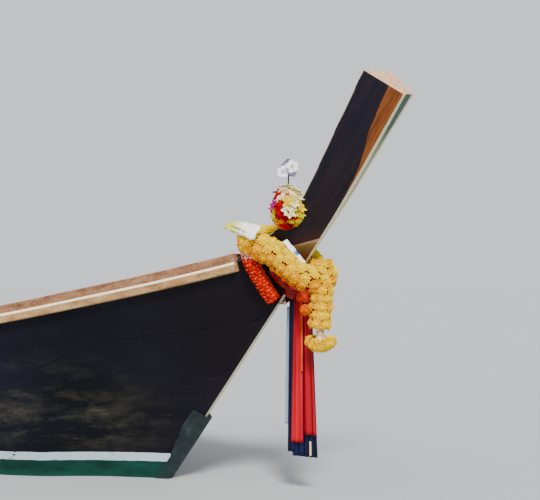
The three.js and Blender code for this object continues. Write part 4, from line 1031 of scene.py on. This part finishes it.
def flower_rope(line, radius, per_ring, head, rng, blocked, closed=False, spread=0.1):
    """Heads set in rings round a line, facing out, without those inside the timbers."""
    painted_light_way = (0.45, -0.15, 0.88)
    ahead, side, up = path_frames(line, closed)
    heads = []
    for i, centre in enumerate(line):
        for k in range(per_ring):
            angle = 2 * math.pi * (k + 0.5 * (i % 2)) / per_ring + rng.uniform(-spread, spread)
            out = side[i] * math.cos(angle) + up[i] * math.sin(angle)
            place = centre + out * (radius - head * 0.45) * rng.uniform(0.86, 1.02)
            way = out + ahead[i] * rng.uniform(-0.3, 0.3)
            size = head * rng.uniform(0.85, 1.12)
            # The tone is higher the more a head faces the lit way, with a random spread: painted light and
            # shade on the flower ropes.
            tone = min(max(0.6 + 0.5 * float(np.dot(out, painted_light_way)) + rng.uniform(-0.2, 0.2), 0), 1)
            if not blocked(place):
                heads.append((place, way, size, tone))
    return heads


def rope_core(line, radius, closed=False):
    """Plain round core that fills a flower rope, in the form that strewn gives."""
    around = 12
    points = rope_rings(line, radius, around, closed).reshape(-1, 3)
    quads = grid_faces(len(line) + closed, around, closed=True, turned=True)
    # Rim 0 and a low tone give the core the darkest colour: painted shade where it shows between heads.
    return points, np.array(triangles(quads)) % len(points), np.zeros(len(points)), np.full(len(points), 0.3)


def sphere_directions(count, rng):
    """Directions spread evenly over a sphere, each a little off its place."""
    k = np.arange(count) + 0.5
    z = 1 - 2 * k / count
    around = k * math.pi * (1 + math.sqrt(5))
    flat = np.sqrt(1 - z * z)
    ways = np.stack([flat * np.cos(around), flat * np.sin(around), z], -1)
    return unit(ways + rng.normal(size=(count, 3)) * 0.08)


def inside_test(pieces):
    """A function that says whether a point lies inside one of the pieces."""
    graph = bpy.context.evaluated_depsgraph_get()
    trees = [BVHTree.FromObject(piece, graph) for piece in pieces]

    def blocked(place):
        point = Vector(place)
        for tree in trees:
            near, normal, _, _ = tree.find_nearest(point)
            if near is not None and (point - near).dot(normal) < 0:
                return True
        return False

    return blocked


def flower_piece(name, parts, finish, node, slot):
    points, faces, rim, tone = joined(parts)
    new_piece(name, points, faces, finish, replaces=[node], slot=slot, attributes={"rim": rim, "tone": tone})


def make_marigolds(rng, blocked):
    """The garland round the prow, its hanging end with strings of buds and a tassel, and a pompom."""
    marigold = petals("marigold", "b44800", "e0b800", "eed800", (1.0, 0.4, 0.0, 1))
    orange = petals("orange_marigold", "902000", "c85400", "d87800")
    bud = petals("bud", "c87a1a", "e0cc90", "f4ecd8", (1.0, 0.7, 0.4, 1))
    node, slot = "garland_main", "marigold"
    template = flower_template(3, 9, 27, 0.85)
    ring = smooth_path(both_sides(GARLAND_HALF)[:-1], 0.044, closed=True)
    heads = flower_rope(ring, GARLAND_RADIUS, 8, 0.033, rng, blocked, closed=True, spread=0.2)
    for sign in SIDES.values():
        bend = Vector(GARLAND_BEND) * Vector((1, sign, 1))
        for direction in sphere_directions(34, rng):
            place = bend + Vector(direction) * 0.066
            if not blocked(place):
                heads.append((place, direction, 0.031, rng.uniform(0.4, 1)))
    parts = [strewn(template, heads, rng), rope_core(ring, 0.05, closed=True)]
    flower_piece("marigold_garland", parts, marigold, node, slot)
    end = smooth_path(GARLAND_END, 0.047)
    heads = flower_rope(end, 0.06, 8, 0.031, rng, blocked, spread=0.25)
    for k, lean in enumerate(TASSEL_LEANS):
        droop = 0.012 - 0.028 * math.cos(lean * 24)
        for depth in (-0.022, 0.022):
            place = TASSEL + Vector((lean, depth, droop))
            facing = Vector((lean * 16, depth * 30, -0.35 + 0.1 * (k % 2)))
            heads.append((place, facing, 0.033, rng.uniform(0.55, 1)))
            heads.append((place + Vector((0, -depth * 0.4, 0.016)), (lean * 10, depth * 12, 1), 0.028, 0.9))
    flower_piece("marigold_end", [strewn(template, heads, rng), rope_core(end, 0.034)], marigold, node, slot)
    heads = []
    for strand in range(6):
        angle = 2 * math.pi * strand / 6
        way = Vector((math.cos(angle), math.sin(angle), 0.2))
        for k, z in enumerate(np.linspace(BUDS_TOP.z, TASSEL.z + 0.03, 8)):
            out = 0.016 + 0.006 * math.sin(k * 2.1 + strand)
            place = (BUDS_TOP.x + out * way.x, BUDS_TOP.y + out * way.y, z)
            heads.append((place, way, 0.0115, rng.uniform(0.2, 1)))
    flower_piece("bud_strings", [strewn(flower_template(1, 5, 12, 0.9, 0.08), heads, rng)], bud, node, slot)
    heads = [(POMPOM + Vector(way) * 0.026, way, 0.017, rng.uniform(0.5, 1))
             for way in sphere_directions(26, rng)]
    flower_piece("pompom", [strewn(flower_template(2, 6, 18), heads, rng)], orange, node, slot)


def make_red_garland(rng, blocked):
    """The red garland down each side, its pale buds at the top, its tips and the string that joins it."""
    node, slot = "garland_red", "red_flowers"
    parts, buds, tips = [], [], []
    template = flower_template(2, 6, 18, 0.8, 0.3)
    for sign in SIDES.values():
        line = smooth_path([(x, sign * y, z) for x, y, z in RED_HALF], 0.021)
        heads = flower_rope(line[3:], RED_RADIUS, 9, RED_HEAD, rng, blocked)
        parts += [strewn(template, heads, rng), rope_core(line, 0.026)]
        buds += flower_rope(line[:4], 0.042, 8, 0.017, rng, blocked)
        tips += [(place + way * 0.007, way, 0.006, rng.uniform(0.3, 1))
                 for place, way, _, _ in flower_rope(line[4:], 0.046, 9, RED_HEAD, rng, blocked)[::2]]
    parts.append(rope_core(smooth_path(both_sides(RED_STRING), 0.01), 0.003))
    red = petals("red_petals", "500000", "c01400", "e83a14")
    flower_piece("red_garland", parts, red, node, slot)
    pink = petals("pink_buds", "b83a28", "e8a898", "f8e4dc")
    flower_piece("red_garland_buds", [strewn(template, buds, rng)], pink, node, slot)
    coral = petals("coral_tips", "c03018", "e86040", "f89070")
    flower_piece("red_garland_tips", [strewn(template, tips, rng)], coral, node, slot)


def make_flower_cluster(blocked):
    """A ball of mixed flowers and leaves, with orchids on a short stalk above it."""
    rng = np.random.default_rng(11)
    node, slot = "flower_cluster", "red_flowers"
    kinds = {
        "red": petals("cluster_red", "400006", "a00008", "c80818"),
        "yellow": petals("cluster_yellow", "b47000", "e0c400", "ecdc20"),
        "white": petals("cluster_white", "c8a020", "e4dc98", "f4f4e4"),
        "orange": petals("cluster_orange", "a03000", "dc8000", "e8b000"),
        "magenta": petals("cluster_magenta", "400030", "980060", "c83088"),
    }
    frilly = flower_template(3, 6, 24, 0.7, 0.22)
    lily = bloom_template(6, 0.3, 0.8, 0.35)
    heads = {name: [] for name in kinds}
    forward = Vector((0.857, 0.515, 0))
    for direction in sphere_directions(170, rng):
        direction = Vector(direction)
        place = CLUSTER + direction * CLUSTER_RADII * rng.uniform(0.82, 1.14)
        spot = (direction.dot(forward) + rng.uniform(-0.34, 0.34), direction.z + rng.uniform(-0.34, 0.34))
        near = min(CLUSTER_KINDS, key=lambda row: math.hypot(spot[0] - row[1], spot[1] - row[2]))
        if not blocked(place):
            heads[near[0]].append((place, direction, rng.uniform(0.019, 0.034), rng.uniform(0.45, 1)))
    for name, finish in kinds.items():
        parts = [strewn(frilly, heads[name], rng)]
        if name in ("white", "magenta", "yellow"):
            tall = [(place + way * 0.01, way + Vector((0, 0, 0.4)), 0.042, 1.0)
                    for place, way, _, _ in heads[name][::3]]
            parts.append(strewn(lily, tall, rng))
        flower_piece(f"cluster_{name}", parts, finish, node, slot)
    leaves = petals("leaves", "082008", "14481a", "2c6a2c")
    heads = [(CLUSTER + Vector(d) * CLUSTER_RADII * 0.8, d, 0.05, 0.8) for d in sphere_directions(30, rng)]
    flower_piece("cluster_leaves", [strewn(bloom_template(4, 0.2, 0.9, 0.2), heads, rng)], leaves, node, slot)
    orchid = petals("orchid", "2c58b8", "f4f2fa", "6a0ca8")
    blooms = [(ORCHIDS + Vector(off), way, 0.045, 1.0) for off, way in ORCHID_HEADS]
    hearts = [(ORCHIDS + Vector(off) + Vector(way) * 0.006, way, 0.015, 0.7) for off, way in ORCHID_HEADS]
    parts = [strewn(bloom_template(5, 0.62, 0.75, 0.1), blooms, rng),
             strewn(bloom_template(3, 0.3, 0.6, 0.9), hearts, rng)]
    flower_piece("orchids", parts, orchid, node, slot)
    stalk = petals("stalk", "123412", "1f5420", "3c7438")
    flower_piece("orchid_stalk", [rope_core(smooth_path(STALK, 0.012), 0.004)], stalk, node, slot)


# Cloths


def hanging_strip(name, finish, top, bottom, folds, depth, rng):
    """Cloth hanging in folds between a top and a bottom, each (z, aft x, fore x, y)."""
    phase = rng.uniform(0, 6)
    v = np.linspace(0, 1, 40)[:, None]
    u = np.linspace(0, 1, folds * 8 + 1)
    z, aft, fore, y = (a + (b - a) * v ** power for a, b, power in zip(top, bottom, (1, 0.8, 0.8, 1)))
    wave = np.sin(2 * math.pi * folds * u + phase + 0.9 * np.sin(v * 2.3 + u * 3))
    grid = gridded(aft + (fore - aft) * u, y + depth * (0.55 + 0.45 * v) * wave, z)
    piece = sheet_piece(name, grid, finish, 0.0015, replaces=["hanging_cloth"], slot="red_cloth")


def twisted_cloth(name, finish, line, radius, folds, turns):
    """Cloth twisted into a rope, with its folds running round it."""
    line = smooth_path(line, 0.006)
    around = 40
    share = np.linspace(0, 1, len(line))[:, None]
    twist = folds * 2 * math.pi * np.arange(around) / around + 2 * math.pi * turns * share
    taper = np.minimum(1, 6 * np.minimum(share, 1 - share) + 0.55)
    reach = radius * taper * (0.84 + 0.13 * np.cos(twist) + 0.04 * np.cos(2.3 * twist + 7 * share))
    new_piece(name, *loft(rope_rings(line, reach, around)), finish, smooth_angle=180,
              replaces=["cloth_knot"], slot="red_cloth")


def make_knot(dark, bright):
    """Sash round the stem under the garland, with a wrapped knot and a bright loop in front. The loop's
    bright orange-red paints the sunlit part of the dark red sash.
    """
    twisted_cloth("sash", dark, both_sides(SASH_HALF), 0.033, 4, 5)
    rows, columns = 29, 56
    polar = np.linspace(0, math.pi, rows)[:, None]
    around = 2 * math.pi * np.arange(columns) / columns
    folds = 0.08 * np.sin(around * 5 + polar * 4) + 0.04 * np.sin(around * 11 - polar * 7) * np.sin(polar)
    ball = gridded(np.sin(polar) * np.cos(around), np.sin(polar) * np.sin(around), np.cos(polar))
    points = ball * KNOT_RADII * (1 + folds)[..., None] + KNOT
    new_piece("cloth_wrap", points.reshape(-1, 3), grid_faces(rows, columns, closed=True, turned=True), dark,
              smooth_angle=180, replaces=["cloth_knot"], slot="red_cloth")
    # The bright orange-red of this loop is painted sunlight on the sash's cloth.
    twisted_cloth("sunlit_knot_loop", bright, KNOT_LOOP, 0.036, 3, 2)


def flat_ribbon(name, finish, line, width, face, flutter, taper=0.0):
    """A thin strip along a line, its flat side turned to face, wider where it starts if it tapers."""
    line = smooth_path(line, 0.008)
    side = unit(np.cross(unit(np.gradient(line, axis=0)), face))
    i = np.arange(len(line))[:, None]
    share = i / (len(line) - 1)
    q = np.linspace(-1, 1, 5)
    half = width / 2 * (1 + taper * (0.5 - share))
    crease = flutter * (np.sin(i * 0.9) + np.cos(q * 5 + i * 0.5))
    grid = line[:, None] + side[:, None] * (half * q)[..., None] + crease[..., None] * face
    piece = sheet_piece(name, grid, finish, 0.001, turned=True, replaces=["garland_main"], slot="marigold",
                        attributes={"share": np.repeat(share, len(q))})


def make_ribbons():
    bands = ribbon_finish("banded_ribbon", (0.0, "ffffff"), (0.44, "f4f8ff"), (0.5, "1c6ac8"),
                          (0.62, "1c6ac8"), (0.68, "ffffff"), (0.9, "f4f4f4"), (1.0, "c01818"))
    flat_ribbon("ribbon", bands, RIBBON, 0.034, (0.5, -0.62, 0.6), 0.0015)
    ends = ribbon_finish("ribbon_end", (0.0, "f8f8f4"), (0.42, "f4f2d8"), (0.66, "e6e060"), (1.0, "c8cc00"))
    for k, (lift, width) in enumerate(((0.006, 0.07), (0.022, 0.045), (-0.014, 0.055))):
        line = [(4.985, -0.296 + 0.004 * k, 1.53), (4.92, -0.286, 1.552 + lift * 0.6),
                (4.82, -0.232, 1.566 + lift), (4.68 + 0.012 * k, -0.15 + 0.008 * k, 1.582 + lift * 0.6)]
        flat_ribbon(f"ribbon_end_{k + 1}", ends, line, width, (0.4, -0.8, 0.3), 0.004, 0.9)


def make_cloths():
    rng = np.random.default_rng(3)
    satins = {
        "red": satin("red_cloth", "5c000c", "c0001c"),
        "bright": satin("orange_red_cloth", "a80c00", "e44000"),
        "navy": satin("navy_cloth", "040418", "0c1240"),
        "pale": satin("pale_cloth", "7c90a8", "bccad6"),
        "gold": satin("gold_trim", "b88a3a", "f0e0b0"),
    }
    # The bright orange-red given to the knot's loop paints sunlight on the dark red sash.
    make_knot(satin("dark_red_cloth", "480000", "a80200"), satins["bright"])
    for name, colour, top, bottom, folds, depth in CLOTHS:
        hanging_strip(name, satins[colour], top, bottom, folds, depth, rng)
    make_ribbons()


# Canopy, inside and engine


def dress(name, finish):
    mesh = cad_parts[name].data
    mesh.materials.clear()
    mesh.materials.append(finish)
    return mesh


def dress_nodes():
    iron = metal("dark_iron", "1c1d1e", "3a3b3c", 0.5, 0.85, rust="5a3017")
    tube = metal("tube_steel", "8b9092", "b5babb", 0.4, rust="8a5a36", scale=5)
    finishes = {
        wood("deck_planks", "4f3424", "93694a", "a18a72"): ["frames", "foredeck", "stern_deck"],
        planked("floor_boards", "3f2c20", "8a6a4c", 0.145): [
            "floor_panel_1", "floor_panel_2", "floor_panel_3"],
        wood("seat_planks", "5a3b26", "a4754c", "b39a7e", ALONG_Y): [
            "thwart_1", "thwart_2", "thwart_3", "thwart_4", "stern_beam"],
        iron: ["swivel_post", "swivel_yoke", "engine_cradle", "exhaust", "air_cleaner", "skeg"],
        tube: ["canopy_side_port", "canopy_side_starboard", "canopy_bows", "tail_tube", "tail_brace",
               "tiller"],
        metal("engine_paint", "3f4a4c", "5d696a", 0.5, 0.3, rust="3c2c20"): ["engine_block"],
        metal("cast_aluminium", "8d8c88", "b4b3ae", 0.5, 0.95): ["engine_head", "belt_drive", "bell_housing"],
        metal("bronze", "6b4a22", "b3853c", 0.35): ["propeller"],
        plastic("blue_plastic", "14467e", "2867ad"): ["fuel_tank"],
        plastic("black_plastic", "0d0d0e", "1d1d1f", 0.5): ["battery_box"],
    }
    for finish, names in finishes.items():
        for name in names:
            mesh = dress(name, finish)
            mesh.shade_smooth()
            mesh.set_sharp_from_angle(angle=math.radians(30))


def make_canopy():
    """Canvas over the bows, sagging a little between them, with a scalloped valance."""
    outside = CANOPY_HALF + CANOPY_CLEAR
    valance = [(outside, CANOPY_EAVE - 0.05), (outside, CANOPY_EAVE - CANOPY_VALANCE)]
    arc = [(y, CANOPY_CROWN + CANOPY_CLEAR - (CANOPY_CROWN - CANOPY_EAVE) * (y / CANOPY_HALF) ** 2)
           for y in np.linspace(-CANOPY_HALF, CANOPY_HALF, 41)]
    y, z = np.array([*[(-y, z) for y, z in valance[::-1]], *arc, *valance]).T
    x = np.linspace(CANOPY_AFT, CANOPY_FORE, 81)[:, None]
    k = np.arange(len(y))
    hangs = abs(y) > CANOPY_HALF
    hem = (k == 0) | (k == k[-1])
    sag = np.minimum(abs(CANOPY_BOWS - x).min(1, keepdims=True) / 0.35, 1) ** 2 * 0.007
    flutter = 0.004 * np.sin(x * 9 + k) * np.sign(y)
    scallop = 0.012 * abs(np.sin(x * math.pi / 0.16))
    grid = gridded(x, y + flutter * hangs, z - sag * ~hangs + scallop * hem)
    piece = sheet_piece("canopy_sheet", grid, canvas("canopy_canvas", "2a5f86", "4b86a8"), 0.0016,
                        smooth_angle=60, replaces=["canopy_cover"], slot="canopy_cloth")


def make_floor():
    """Floor at the waterline, open inside the hull."""
    f = Finish("studio_floor", 0.9, specular=0.1)
    finish = f.done(f.mix(f.noise(0.4), (0.41, 0.43, 0.45, 1), (0.43, 0.45, 0.47, 1)))
    reach = 60
    fore = halving(3.3, 5.2, lambda x: rabbet_at(x) < 0)
    x = np.linspace(STERN_X + TRANSOM_THICK / 2, fore, 90)
    half = skin_half(x, 0 * x) - PLANK / 2
    x = np.array([-reach, *x, reach])
    half = np.array([half[0], *half, half[-1]])
    grid = swept(x, [(reach, 0), (half, 0), (-half, 0), (-reach, 0)])
    ends = (0, len(x) - 2)
    faces = [face for n, face in enumerate(grid_faces(len(x), 4)) if n % 3 != 1 or n // 3 in ends]
    mesh = bpy.data.meshes.new("floor")
    mesh.from_pydata([tuple(p) for p in grid.reshape(-1, 3)], [], faces)
    mesh.materials.append(finish)
    linked("floor", mesh)


make_camera()
make_floor()
make_lights()

paint = hull_paint()
front_finish = prow_front_finish()
make_strakes(paint)
make_rails()
make_stem(paint, front_finish)
prow_piece = make_prow(prow_side_finish(), front_finish, end_grain())
make_guard(guard_finish())
timbers = inside_test([prow_piece, bpy.data.objects["stem"]])
garland_rng = np.random.default_rng(7)
make_marigolds(garland_rng, timbers)
make_red_garland(garland_rng, timbers)
make_flower_cluster(timbers)
make_cloths()
make_canopy()
dress_nodes()
dress("transom", paint)
